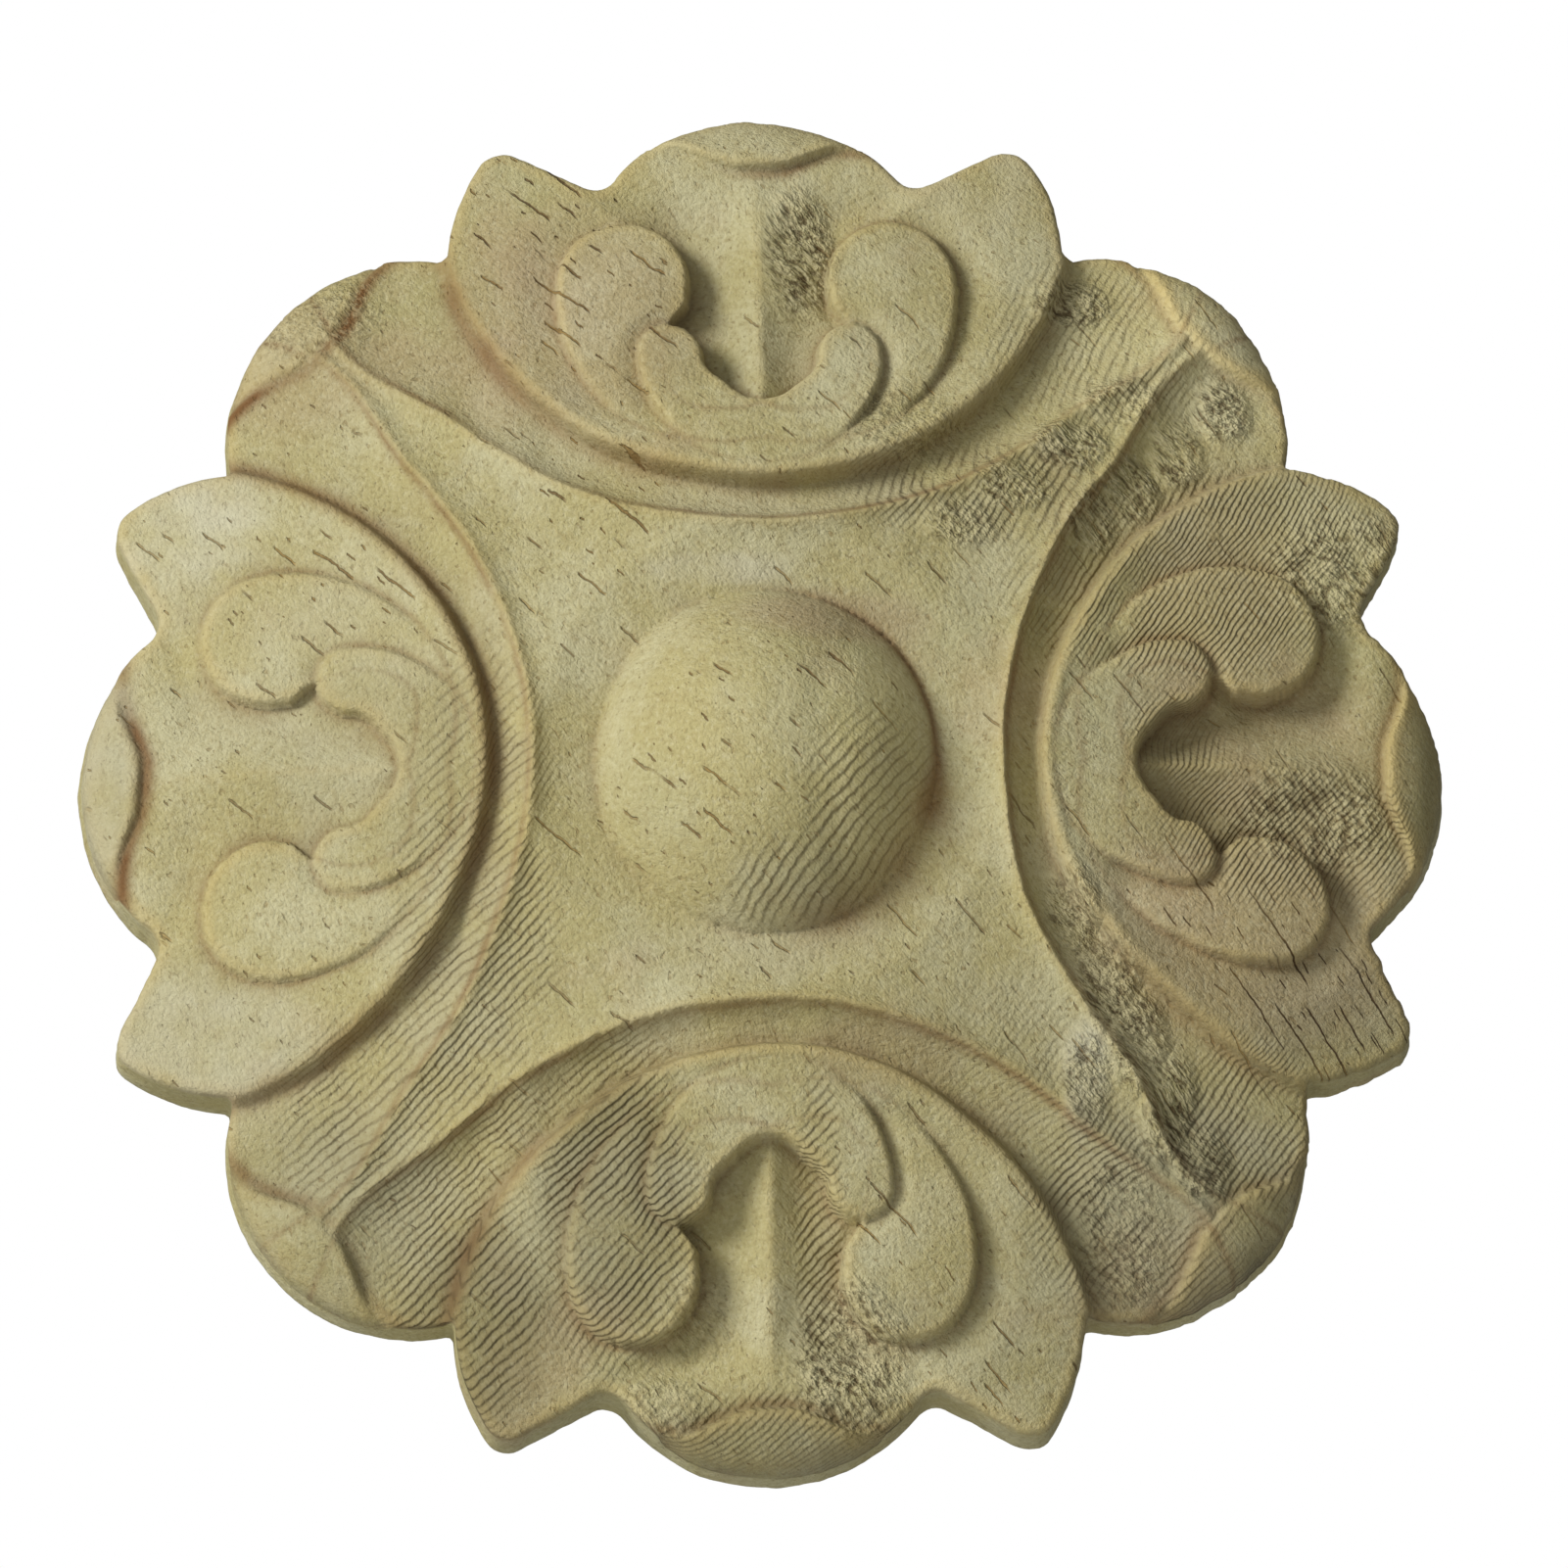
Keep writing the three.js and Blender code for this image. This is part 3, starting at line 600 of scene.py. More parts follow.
# Places where the cut followed the layers and left fine steps, off the dome and on it
STEPPED = [
    (-0.22, -0.62, 0.10, 0.20, 1.0),
    (-0.44, -0.74, 0.10, 0.16, 1.0),
    (-0.42, -0.20, 0.10, 0.32, 0.8),
    (-0.52, -0.50, 0.16, 0.14, 0.8),
    (0.60, 0.24, 0.20, 0.10, 0.9),
    (0.72, 0.36, 0.16, 0.08, 0.8),
    (0.76, -0.10, 0.16, 0.09, 0.9),
    (0.60, 0.04, 0.06, 0.06, 0.6),
    (0.07, -0.66, 0.03, 0.17, 0.9),
    (0.46, -0.62, 0.08, 0.12, 0.9),
    (0.68, -0.52, 0.10, 0.10, 0.8),
    (0.64, -0.72, 0.08, 0.08, 0.6),
    (0.36, 0.40, 0.20, 0.07, 0.7),
    (0.50, 0.62, 0.14, 0.12, 0.5),
    (0.02, -0.93, 0.16, 0.05, 0.5),
    (0.34, -0.44, 0.10, 0.10, 0.3),
]
DOME_STEPPED = [
    (0.18, -0.12, 0.12, 0.14, 0.8),
    (0.09, -0.20, 0.12, 0.07, 0.7),
]
# Places that are pinkish, bleached and partly painted highlight, or open in long cracks
PINK = [
    (0.72, -0.24, 0.22, 0.16, 0.9),
    (0.66, 0.10, 0.12, 0.30, 0.6),
    (0.80, 0.02, 0.14, 0.12, 0.5),
    (-0.26, 0.66, 0.16, 0.14, 0.7),
    (-0.68, 0.62, 0.12, 0.10, 0.6),
    (0.10, 0.20, 0.12, 0.04, 0.8),
    (0.16, -0.42, 0.10, 0.05, 0.5),
    (0.55, -0.75, 0.10, 0.10, 0.5),
]
BLEACHED_AND_HIGHLIT = [
    (-0.88, 0.36, 0.14, 0.12, 0.9),
    (-0.97, 0.05, 0.06, 0.16, 0.8),
    (-0.84, -0.40, 0.16, 0.12, 0.7),
    (-0.60, 0.14, 0.14, 0.16, 0.4),
    (-0.06, 0.28, 0.10, 0.02, 0.8),
    (0.45, -0.46, 0.03, 0.07, 1.0),
    (0.62, -0.62, 0.14, 0.14, 0.4),
    (0.30, 0.90, 0.10, 0.10, 0.4),
    (-0.05, -0.27, 0.16, 0.04, 0.3),
]
CRACKED = [
    (0.82, -0.34, 0.16, 0.10, 1.0),
    (0.66, -0.20, 0.14, 0.07, 0.8),
    (-0.30, 0.82, 0.14, 0.12, 0.8),
    (-0.22, 0.68, 0.10, 0.10, 0.7),
    (-0.62, 0.28, 0.14, 0.08, 0.6),
    (0.00, 0.00, 0.17, 0.17, 0.6),
    (0.16, -0.72, 0.10, 0.10, 0.5),
    (0.34, -0.86, 0.10, 0.08, 0.5),
    (-0.30, -0.10, 0.08, 0.10, 0.4),
    (0.16, 0.44, 0.10, 0.06, 0.4),
    (-0.24, 0.38, 0.10, 0.12, 0.7),
]
# Places with shallower relief
SHALLOW = [
    (-0.72, 0.00, 0.34, 0.44, 0.5),
    (-0.66, 0.64, 0.20, 0.16, 0.3),
    (-0.37, 0.00, 0.07, 0.44, 0.75),
]
# Places painted darker, and places painted paler: partly the wood's own tone, partly painted shade
# on faces turned from the light and painted light on the dome's shaded right side
DARKER_AND_PAINTED_SHADE = [
    (-0.22, -0.62, 0.09, 0.16, 0.26),
    (-0.42, -0.80, 0.10, 0.14, 0.30),
    (0.36, -0.76, 0.10, 0.12, 0.12),
    (0.62, -0.66, 0.18, 0.16, 0.19),
    (-0.66, -0.64, 0.16, 0.14, 0.16),
    (0.00, -0.95, 0.18, 0.05, 0.22),
    (0.73, -0.73, 0.06, 0.06, 0.42),
    (-0.97, 0.00, 0.05, 0.20, 0.12),
    (0.99, -0.06, 0.03, 0.16, 0.25),
    (0.77, 0.70, 0.05, 0.08, 0.15),
    (-0.60, 0.00, 0.16, 0.14, 0.08),
    (0.02, 0.66, 0.14, 0.10, 0.05),
    (-0.84, -0.40, 0.14, 0.12, 0.05),
    (0.84, -0.40, 0.14, 0.14, 0.16),
    (-0.12, 0.64, 0.06, 0.10, 0.08),
]
# paler places, partly painted light
PALER_AND_PAINTED_LIGHT = [
    (0.64, 0.64, 0.18, 0.18, 0.20),
    (0.66, 0.20, 0.20, 0.08, 0.07),
    (0.66, -0.22, 0.16, 0.08, 0.10),
    (0.84, 0.30, 0.14, 0.10, 0.10),
    (-0.36, 0.00, 0.05, 0.24, 0.10),
    (-0.02, 0.04, 0.12, 0.14, 0.05),
    (0.16, -0.01, 0.08, 0.15, 0.42),
]
PATCH_FADE = (0.7, 0.8)


def patches(x, y, spots):
    total = np.zeros(x.shape)
    for px, py, wide, tall, strength in spots:
        near = np.hypot((x - px) / wide, (y - py) / tall)
        total = np.maximum(total, strength * (1 - fade(near, *PATCH_FADE)))
    return total


# Unevenly cut face: its torn grain, its worn outline, and where the rim is chipped more
FIBRE_LENGTH = 3
TORN_SHARE = 0.75
TORN_DEPTH = 0.011
EVEN_RIM = 0.04
WEAR = 0.9975
CHIPS, MORE_CHIPS = 0.0012, 0.0022
MORE_CHIPS_RIGHT = (0.3, 0.5)
CHIPPED_RIM = 0.03


def strayed(x, y):
    """How far each place on the face has moved from the even pattern."""
    move_x, move_y = np.zeros(x.shape), np.zeros(x.shape)
    for px, py, wide, tall, dx, dy in SHIFTS:
        share = 1 - ease(np.hypot((x - px) / wide, (y - py) / tall))
        move_x += share * dx
        move_y += share * dy
    chips_here = ease(1 + outline(*folded(x, y)) / CHIPPED_RIM) * fade(x, *MORE_CHIPS_RIGHT)
    chips = CHIPS + MORE_CHIPS * chips_here
    move_x += uneven("drift right", x, y) + chips * uneven("chips right", x, y)
    move_y += uneven("drift up", x, y) + chips * uneven("chips up", x, y)
    return move_x, move_y


def cut_height(x, y, torn):
    """Height of the face as it is cut: uneven, and rough where the grain is torn."""
    z = height(*folded(x, y), 1 - patches(x, y, SHALLOW))
    inside = ease(-outline(*folded(x, y)) / EVEN_RIM)
    # along and across the fibres, which run down to the right
    along, across = (x - y) * math.sqrt(0.5), (x + y) * math.sqrt(0.5)
    ragged = uneven("ragged", along / FIBRE_LENGTH, across)
    z = z + inside * (uneven("slow cut", x, y) + uneven("quick cut", x, y))
    return z + inside * torn * TORN_DEPTH * ragged


# Steps in the cut: how far apart they lie, how they lean with the height, and their way
STEP_WAVES = {"dome": 0.0145, "right": 0.0085, "rest": 0.0122}
STEP_LEAN = 0.7
STEP_WAY = (-0.75, 0.6)
STEP_FREE_EDGE = 0.012
STEPPED_SHARE = 0.8


def step_maps(x, y, z):
    """How stepped each place is, and how many steps lie before it."""
    off_dome = np.hypot(x, y) - DOME_RADIUS
    off_right = np.where(x > np.abs(y), to_body(*folded(x, y)), 1)
    stepped = patches(x, y, STEPPED) * (STEPPED_SHARE + uneven("stepped", x, y))
    stepped = np.where(off_dome < 0, patches(x, y, DOME_STEPPED), stepped)
    for off_edge in (off_dome, off_right):
        stepped *= ease(np.abs(off_edge) / STEP_FREE_EDGE)
    # the steps run square to the fibres, and bend where the face rises or falls
    low_z = np.where(off_dome < 0, STRAP_HEIGHT, z)
    way = STEP_WAY[0] * x + STEP_WAY[1] * y + STEP_LEAN * TALL * low_z + uneven("steps", x, y)
    wave = np.where(off_right < 0, STEP_WAVES["right"], STEP_WAVES["rest"])
    wave = np.where(off_dome < 0, STEP_WAVES["dome"], wave)
    return np.clip(stepped, 0, 1), way / wave


# Hollow and proud places: a grid over the face, blurred by a few cells and by more,
# and the differences in height that count as hollow or proud, with their shares
CREASE_GRID = 401
TIGHT_CELLS, WIDE_CELLS = 2, 6
TIGHT_HOLLOW, TIGHT_SHARE = 0.018, 0.7
WIDE_HOLLOW, WIDE_SHARE = 0.04, 0.5
TIGHT_PROUD = 0.016
BLUR_REACH = 3


def blurred(field, cells):
    reach = BLUR_REACH * cells
    kernel = np.exp(-0.5 * (np.arange(-reach, reach + 1) / cells) ** 2)
    kernel /= kernel.sum()
    across = np.apply_along_axis(lambda row: np.convolve(row, kernel, "same"), 0, field)
    return np.apply_along_axis(lambda row: np.convolve(row, kernel, "same"), 1, across)


def sample(field, grid, x, y):
    """A grid's field at places between its points."""
    step = grid[1] - grid[0]
    u = np.clip((x - grid[0]) / step, 0, len(grid) - 1.001)
    v = np.clip((y - grid[0]) / step, 0, len(grid) - 1.001)
    i, j = u.astype(int), v.astype(int)
    fu, fv = u - i, v - j
    near = mix(field[j, i], field[j, i + 1], fu)
    return mix(near, mix(field[j + 1, i], field[j + 1, i + 1], fu), fv)


def crease_maps(x, y):
    """How hollow and how proud the surface is round each place, 0 to 1."""
    grid = np.linspace(-1, 1, CREASE_GRID)
    s, t = folded(*np.meshgrid(grid, grid))
    z = np.where(outline(s, t) < 0, height(s, t), LIP_EDGE)
    tight = blurred(z, TIGHT_CELLS) - z
    wide = blurred(z, WIDE_CELLS) - z
    hollow = np.clip(tight / TIGHT_HOLLOW, 0, 1) * TIGHT_SHARE
    hollow = hollow + np.clip(wide / WIDE_HOLLOW, 0, 1) * WIDE_SHARE
    proud = np.clip(-tight / TIGHT_PROUD, 0, 1)
    return np.clip(sample(hollow, grid, x, y), 0, 1), sample(proud, grid, x, y)


# Scorched brown, partly painted shade, beside the walls: how far past each line it lies, how wide
# it is there (in the right half and in the left half), how strong it is, and where it weakens
SCORCH_SHADE_PLACE = {"wall": 0.004, "ridge": 0.007, "lip": -0.004, "tier": 0.003}
SCORCH_SHADE_WIDTH = {"wall": (0.012, 0.016), "lobe": (0.009, 0.013), "petal": (0.009, 0.012)}
SCORCH_SHADE_LINE_WIDTH = 0.005
SCORCH_SHADE_STRENGTH = {"wall": 0.8, "ridge": 0.7, "lip": 1.1, "tier": 0.4, "dome": 0.8}
SCORCH_SHADE_LEFT = (0.2, 0.3)
SCORCH_SHADE_INSIDE = -0.02
WALL_RIGHT, WALL_RIGHT_SHARE = (-0.6, 0.9), 0.35
LIP_FAR, LIP_FAR_SHARE = (0.4, 0.3), 0.45
TOP_LIP_FROM, TOP_LIP_RIGHT = 0.8, (-0.06, 0.1)
DOME_SCORCH_SHADE_WIDTH, DOME_SCORCH_SHADE_RIGHT = (0.007, 0.03), (-0.05, 0.25)
DOME_LOW_RIGHT, DOME_LOW = (0.12, 0.2), (-0.04, 0.16)
SCORCH_SHADE_SHARE = 0.75


def beside_lips(s, t, place, lobe_width, petal_width):
    """1 along the creases behind the lips of the lobes and petals."""
    a, b = petal_frame(s, t)
    lobe = bell(past_crease(s, t), place, lobe_width) * (t < LIP_HALF_WIDTH)
    petal = bell(past_crease(a, b), place, petal_width) * (b < LIP_HALF_WIDTH)
    return np.maximum(lobe, petal)


def scorch_and_shade_map(x, y):
    """Scorched brown and painted shade at the foot of the walls, most on the left, where the walls
    face away from the light, and widest at the dome's shaded lower right.
    """
    s, t = folded(x, y)
    body = to_body(s, t)
    left = fade(-x, *SCORCH_SHADE_LEFT)
    wide = {name: mix(*width, left) for name, width in SCORCH_SHADE_WIDTH.items()}
    wall = bell(body, SCORCH_SHADE_PLACE["wall"], wide["wall"])
    wall *= mix(1.0, WALL_RIGHT_SHARE, fade(x, *WALL_RIGHT))
    ridge = bell(to_crest(s, t), SCORCH_SHADE_PLACE["ridge"], SCORCH_SHADE_LINE_WIDTH) * (body > 0)
    lips = beside_lips(s, t, SCORCH_SHADE_PLACE["lip"], wide["lobe"], wide["petal"])
    lips *= mix(1.0, LIP_FAR_SHARE, np.maximum(fade(-y, *LIP_FAR), fade(x, *LIP_FAR)))
    lips *= np.where(y > TOP_LIP_FROM, fade(x, *TOP_LIP_RIGHT), 1)
    tiers = [bell(tier(s, t), SCORCH_SHADE_PLACE["tier"], SCORCH_SHADE_LINE_WIDTH) for tier in (mid_tier, top_tier)]
    low_right = fade(x - y, *DOME_LOW_RIGHT) * fade(-y, *DOME_LOW) * (x > 0)
    foot = bell(np.hypot(x, y), DOME_RADIUS, DOME_SCORCH_SHADE_WIDTH[0] + DOME_SCORCH_SHADE_WIDTH[1] * low_right)
    scorch_shades = {
        "wall": wall,
        "ridge": ridge,
        "lip": lips,
        "tier": np.maximum(*tiers) * (body < SCORCH_SHADE_INSIDE),
        "dome": foot * fade(x, *DOME_SCORCH_SHADE_RIGHT),
    }
    scorch_and_shade = np.maximum.reduce([SCORCH_SHADE_STRENGTH[name] * scorch_shade for name, scorch_shade in scorch_shades.items()])
    return scorch_and_shade * np.clip(SCORCH_SHADE_SHARE + uneven("scorch_and_shade", x, y), 0, 1)


# The crown of the lips, yellowed and partly painted highlight, on the right and the bottom
CROWN_PLACE, CROWN_WIDTH = 0.016, 0.014
CROWN_RIGHT, CROWN_LOW, CROWN_LOW_SHARE = (0.1, 0.3), (0.7, 0.2), 0.7
BLEACHED_AND_HIGHLIT_SHARE = 0.6


def crown_tint_and_highlight_map(x, y):
    lips = beside_lips(*folded(x, y), CROWN_PLACE, CROWN_WIDTH, CROWN_WIDTH)
    return lips * np.maximum(fade(x, *CROWN_RIGHT), CROWN_LOW_SHARE * fade(-y, *CROWN_LOW))


def face_maps(x, y, z, torn):
    """The values over the face that the material reads."""
    maps = {}
    # the hollow map also places the painted shade in the creases
    maps["hollow"], maps["proud"] = crease_maps(x, y)
    maps["torn"] = np.clip(torn, 0, 1)
    maps["stepped"], maps["phase"] = step_maps(x, y, z)
    # scorched brown and painted shade along the walls, crests, lips, tiers and the dome's foot
    maps["scorch_and_shade"] = scorch_and_shade_map(x, y)
    fresh = np.clip(BLEACHED_AND_HIGHLIT_SHARE + uneven("bleached_and_highlit", x, y), 0, 1)
    # pale bleached wood, partly painted highlight where faces meet the light
    maps["bleached_and_highlit"] = patches(x, y, BLEACHED_AND_HIGHLIT) * fresh
    # yellow tint with a painted highlight along the lips' crowns
    maps["crown"] = crown_tint_and_highlight_map(x, y)
    maps["cracked"] = patches(x, y, CRACKED)
    maps["pink"] = patches(x, y, PINK)
    # painted light and painted shade, with some of the wood's own tone, as a factor on the colour
    maps["shading"] = 1 + patches(x, y, PALER_AND_PAINTED_LIGHT) - patches(x, y, DARKER_AND_PAINTED_SHADE)
    maps["wall"] = np.zeros(x.shape)
    return maps


def band(upper, lower):
    """Triangles between two rings of vertices."""
    upper_next, lower_next = np.roll(upper, -1), np.roll(lower, -1)
    return [np.stack([upper, lower, lower_next], 1), np.stack([upper, lower_next, upper_next], 1)]


def wall_and_back(places, face, loop):
    """Rings of vertices from the face's rim down the side wall and in over the back."""
    out = places[loop] / np.linalg.norm(places[loop], axis=1)[:, None]
    x, depth, y = face[loop].T
    rings = []
    for level in WALL_LEVELS:
        grow = WALL_LEAN * (1 - level) - (FOOT_WEAR if level == 0 else 0)
        across, up = places[loop].T
        grow = grow + uneven("wall", across * WALL_WAVE_PLACE, up + level)
        foot_x, foot_y = x + out[:, 0] * grow, y + out[:, 1] * grow
        rings.append(np.stack([foot_x, depth * level, foot_y], 1))
    for share in BACK_RINGS:
        rings.append(np.stack([foot_x * share, 0 * foot_x, foot_y * share], 1))
    return rings


def closed_body(places, face, triangles, loop):
    """The face with its side wall and flat back: all vertices and triangles."""
    verts, faces = [face], [triangles]
    last, count = loop, len(face)
    for ring in wall_and_back(places, face, loop):
        now = np.arange(count, count + len(loop))
        verts.append(ring)
        faces += band(last, now)
        last, count = now, count + len(loop)
    verts.append(np.zeros((1, 3)))
    faces.append(np.stack([last, np.full(len(loop), count), np.roll(last, -1)], 1))
    return np.concatenate(verts), np.concatenate(faces)


def build_rosette():
    plan, wedge_faces, rim = wedge_mesh()
    places, triangles = all_round(plan, wedge_faces)
    x, y = places.T
    torn = patches(x, y, TORN) * (TORN_SHARE + uneven("torn", x, y))
    z = cut_height(x, y, torn)
    maps = face_maps(x, y, z, torn)
    move_x, move_y = strayed(x, y)
    face = np.stack([WEAR * (x + move_x), -z * TALL, WEAR * (y + move_y)], 1)
    verts, faces = closed_body(places, face, triangles, ring_order(places, rim))
    verts = verts * RADIUS * np.array([1, 1, STRETCH])
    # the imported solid's box is kept
    verts = np.clip(verts, low[:], high[:])
    mesh = bpy.data.meshes.new("rosette_carved")
    mesh.from_pydata(verts.tolist(), [], faces.tolist())
    mesh.update()
    for name, values in maps.items():
        # the side wall and the back have the wall's own value
        full = np.full(len(verts), name in ("shading", "wall"), np.float32)
        full[: len(values)] = values
        mesh.attributes.new(name, "FLOAT", "POINT").data.foreach_set("value", full)
    mesh.polygons.foreach_set("use_smooth", [True] * len(mesh.polygons))
    piece = bpy.data.objects.new("rosette_carved", mesh)
    bpy.context.scene.collection.objects.link(piece)
    return piece


class Nodes:
    """Short ways to add nodes to a material or a world."""

    def __init__(self, tree):
        self.tree = tree

    def put(self, socket, value):
        if isinstance(value, bpy.types.NodeSocket):
            self.tree.links.new(value, socket)
        else:
            socket.default_value = value

    def add(self, kind, inputs=None, **settings):
        node = self.tree.nodes.new(kind)
        for name, value in settings.items():
            setattr(node, name, value)
        for name, value in (inputs or {}).items():
            self.put(node.inputs[name], value)
        return node

    def math(self, operation, a, b=0.0):
        return self.add("ShaderNodeMath", {0: a, 1: b}, operation=operation).outputs[0]

    def times(self, a, b):
        return self.math("MULTIPLY", a, b)

    def plus(self, a, b):
        return self.math("ADD", a, b)

    def minus(self, a, b):
        return self.math("SUBTRACT", a, b)

    def over(self, a, b):
        return self.math("DIVIDE", a, b)

    def most(self, a, b):
        return self.math("MAXIMUM", a, b)

    def scale(self, vector, factor):
        inputs = {0: vector, "Scale": factor}
        return self.add("ShaderNodeVectorMath", inputs, operation="SCALE").outputs[0]

    def dot(self, vector, axis):
        node = self.add("ShaderNodeVectorMath", {0: vector, 1: axis}, operation="DOT_PRODUCT")
        return node.outputs["Value"]

    def join(self, x, y, z=0.0):
        return self.add("ShaderNodeCombineXYZ", {0: x, 1: y, 2: z}).outputs[0]

    def ramp(self, value, start, end):
        inputs = {"Value": value, "From Min": start, "From Max": end}
        node = self.add("ShaderNodeMapRange", inputs, interpolation_type="SMOOTHSTEP")
        return node.outputs["Result"]

    def colour(self, factor, a, b):
        node = self.add("ShaderNodeMix", data_type="RGBA")
        for place, value in ((0, factor), (6, a), (7, b)):
            self.put(node.inputs[place], value)
        return node.outputs[2]

    def noise(self, vector, scale, detail, rough=0.5):
        inputs = {"Vector": vector, "Scale": scale, "Detail": detail, "Roughness": rough}
        return self.add("ShaderNodeTexNoise", inputs).outputs["Fac"]

    def dashes(self, place, detail):
        inputs = {"W": place, "Scale": 1.0, "Detail": detail}
        node = self.add("ShaderNodeTexNoise", inputs, noise_dimensions="1D")
        return node.outputs["Fac"]

    def attribute(self, name):
        return self.add("ShaderNodeAttribute", attribute_name=name).outputs["Fac"]


def shade(r, g, b):
    """A colour given as display values, as the scene's linear colour."""
    linear = []
    for c in (r, g, b):
        linear.append(c / 255 / 12.92 if c <= 10 else ((c / 255 + 0.055) / 1.055) ** 2.4)
    return (*linear, 1)


# The fibres run down to the right and into the board; the layers lie square to them
FIBRE = Vector((0.59, 0.55, -0.59)).normalized()
LAYER = Vector((-0.395, 0.83, 0.395))
LAYER = (LAYER - FIBRE * LAYER.dot(FIBRE)).normalized()
SIDE = FIBRE.cross(LAYER)
VESSEL = Vector((0.72, 0.07, -0.69)).normalized()
VESSEL_SIDE = VESSEL.cross(Vector((0, 1, 0))).normalized()
VESSEL_DEEP = VESSEL.cross(VESSEL_SIDE)

# Noise textures of the wood: scale per mm, detail and roughness
NOISES = {
    "bend": (0.06, 2, 0.5),
    "sway": (0.05, 1, 0.5),
    "wander": (0.25, 2, 0.5),
    "shiver": (1.1, 2, 0.5),
    "patchy": (0.22, 4, 0.6),
    "wobble": (0.5, 3, 0.6),
    "streak": (1.4, 4, 0.6),
    "fine": (4.5, 3, 0.6),
    "fuzz": (2.2, 3, 0.6),
    "ticks": (2.4, 2, 0.5),
    "broad": (0.035, 2, 0.5),
    "cloud": (0.11, 4, 0.6),
    "blush": (0.08, 3, 0.5),
    "mottle": (0.5, 4, 0.65),
    "grit": (2.6, 3, 0.7),
    "shadow": (0.22, 3, 0.5),
    "stain": (0.3, 1, 0.5),
    "saw_marks": (1.6, 2, 0.5),
}
# How much longer these are along the fibres than across them
FIBRE_STRETCH = {"streak": 6.0, "fine": 6.0, "fuzz": 3.4, "ticks": 2.6}
BEND_MM, SWAY_MM, WOBBLE_MM = 3.0, 6.0, 1.1
WANDER_STEPS, SHIVER_STEPS = 1.1, 0.4
NOISE_MEAN = 0.5
# Where a mask starts and where it is full; a step rises and drops within its width
RAMPS = {
    "ticks": (0.64, 0.72),
    "patchy": (0.28, 0.50),
    "shadow": (0.3, 0.65),
    "bright_fuzz": (0.49, 0.57),
    "fuzz_shade": (0.40, 0.46),
    "step_rise": (0.0, 0.6),
    "step_drop": (0.6, 1.0),
    "line_start": (0.6, 0.8),
    "line_end": (0.88, 1.0),
}

# Open vessels: spacing, radius as a share of it, length in mm, and how few are open
VESSELS = [(2.2, 0.04, 2.2, 0.60), (1.3, 0.045, 0.8, 0.68)]
VESSEL_EDGE, VESSEL_END, VESSEL_JITTER = 0.6, 0.03, 50.0
# Long cracks: the same, and how they slope in the plan and steepen to the right
CRACKS = [(2.8, 0.055, 4.5, 0.67), (2.0, 0.055, 1.2, 0.76)]
CRACK_EDGE, CRACK_END, CRACK_JITTER = 0.4, 0.05, 70.0
CRACK_SLOPE, CRACK_STEEPEN = 0.85, 0.009
MORE_CRACKS = 0.2

# Layers of colour over the bare wood, some of them painted shade and painted highlight: the mask,
# the part of it that is ramped up, the strength, and the colour as display values
BARE_PALE, BARE_TAN, BARE_RAMP = (192, 186, 146), (180, 170, 119), (0.38, 0.66)
TINTS = [
    ("broad", (0.5, 0.7), 0.6, (170, 163, 112)),
    ("blush", (0.55, 0.75), 0.45, (178, 155, 122)),
    ("pink", None, 0.55, (166, 142, 112)),
    ("streak", (0.45, 0.75), 0.30, (158, 140, 92)),
    ("mottle", (0.5, 0.8), 0.3, (204, 197, 158)),
    ("fine", (0.5, 0.8), 0.22, (146, 128, 84)),
    ("grit", (0.5, 0.72), 0.45, (142, 126, 80)),
    ("grit", (0.5, 0.3), 0.35, (208, 202, 164)),
    ("ticks", None, 0.4, (138, 114, 68)),
    ("proud", None, 0.35, (190, 168, 106)),
    # yellowed crown of the lips, partly painted highlight
    ("crown", None, 0.42, (204, 180, 116)),
    # bleached wood, partly painted highlight
    ("bleached_and_highlit", None, 0.55, (204, 200, 176)),
    ("stepped", None, 0.4, (138, 126, 86)),
    # painted shade in the hollows
    ("painted_hollow_shade", None, 0.4, (128, 102, 60)),
    # scorched brown with painted shade at the foot of the walls and creases
    ("scorch_and_shade", None, 0.85, (116, 76, 36)),
    # painted shade on the drop of each step
    ("step_drop_shade", None, 0.52, (96, 78, 46)),
    ("bright_fuzz", None, 0.75, (216, 205, 158)),
    # painted shade between the torn fibres
    ("fuzz_shade", None, 0.85, (84, 64, 34)),
]
# Stain in the open vessels and cracks
STAIN_PALE, STAIN_BROWN, STAIN_RAMP = (152, 122, 64), (112, 84, 44), (0.35, 0.65)
CRACK_STAIN, CRACK_STAIN_RAMP, CRACK_STAIN_SHARE = (66, 44, 22), (0.6, 0.9), 0.85
STAIN_SHARE, STAIN_CRACKED_SHARE = 0.6, 0.35
# Fine relief of the wood, in mm
RELIEF = [
    ("steps", -0.14),
    ("pores", -0.16),
    ("torn_fuzz", 1.5),
    ("fine", 0.12),
    ("mottle", 0.14),
    ("grit", 0.17),
    ("ticks", -0.05),
    ("saw_marks", 0.1),
]
ROUGHNESS, SHINE = 0.82, 0.3


def texture(n, name, place):
    return n.noise(place, *NOISES[name])


def ramped(n, name, value):
    return n.ramp(value, *RAMPS[name])


def add_grain(n, fields, mm):
    """Noise along the fibres, which bend a little."""
    bend = n.times(n.minus(texture(n, "bend", mm), NOISE_MEAN), BEND_MM)
    along = n.dot(mm, FIBRE)
    side, layer = n.plus(n.dot(mm, SIDE), bend), n.plus(n.dot(mm, LAYER), bend)
    for name, stretch in FIBRE_STRETCH.items():
        fields[name] = texture(n, name, n.join(n.over(along, stretch), side, layer))
    fields["ticks"] = ramped(n, "ticks", fields["ticks"])


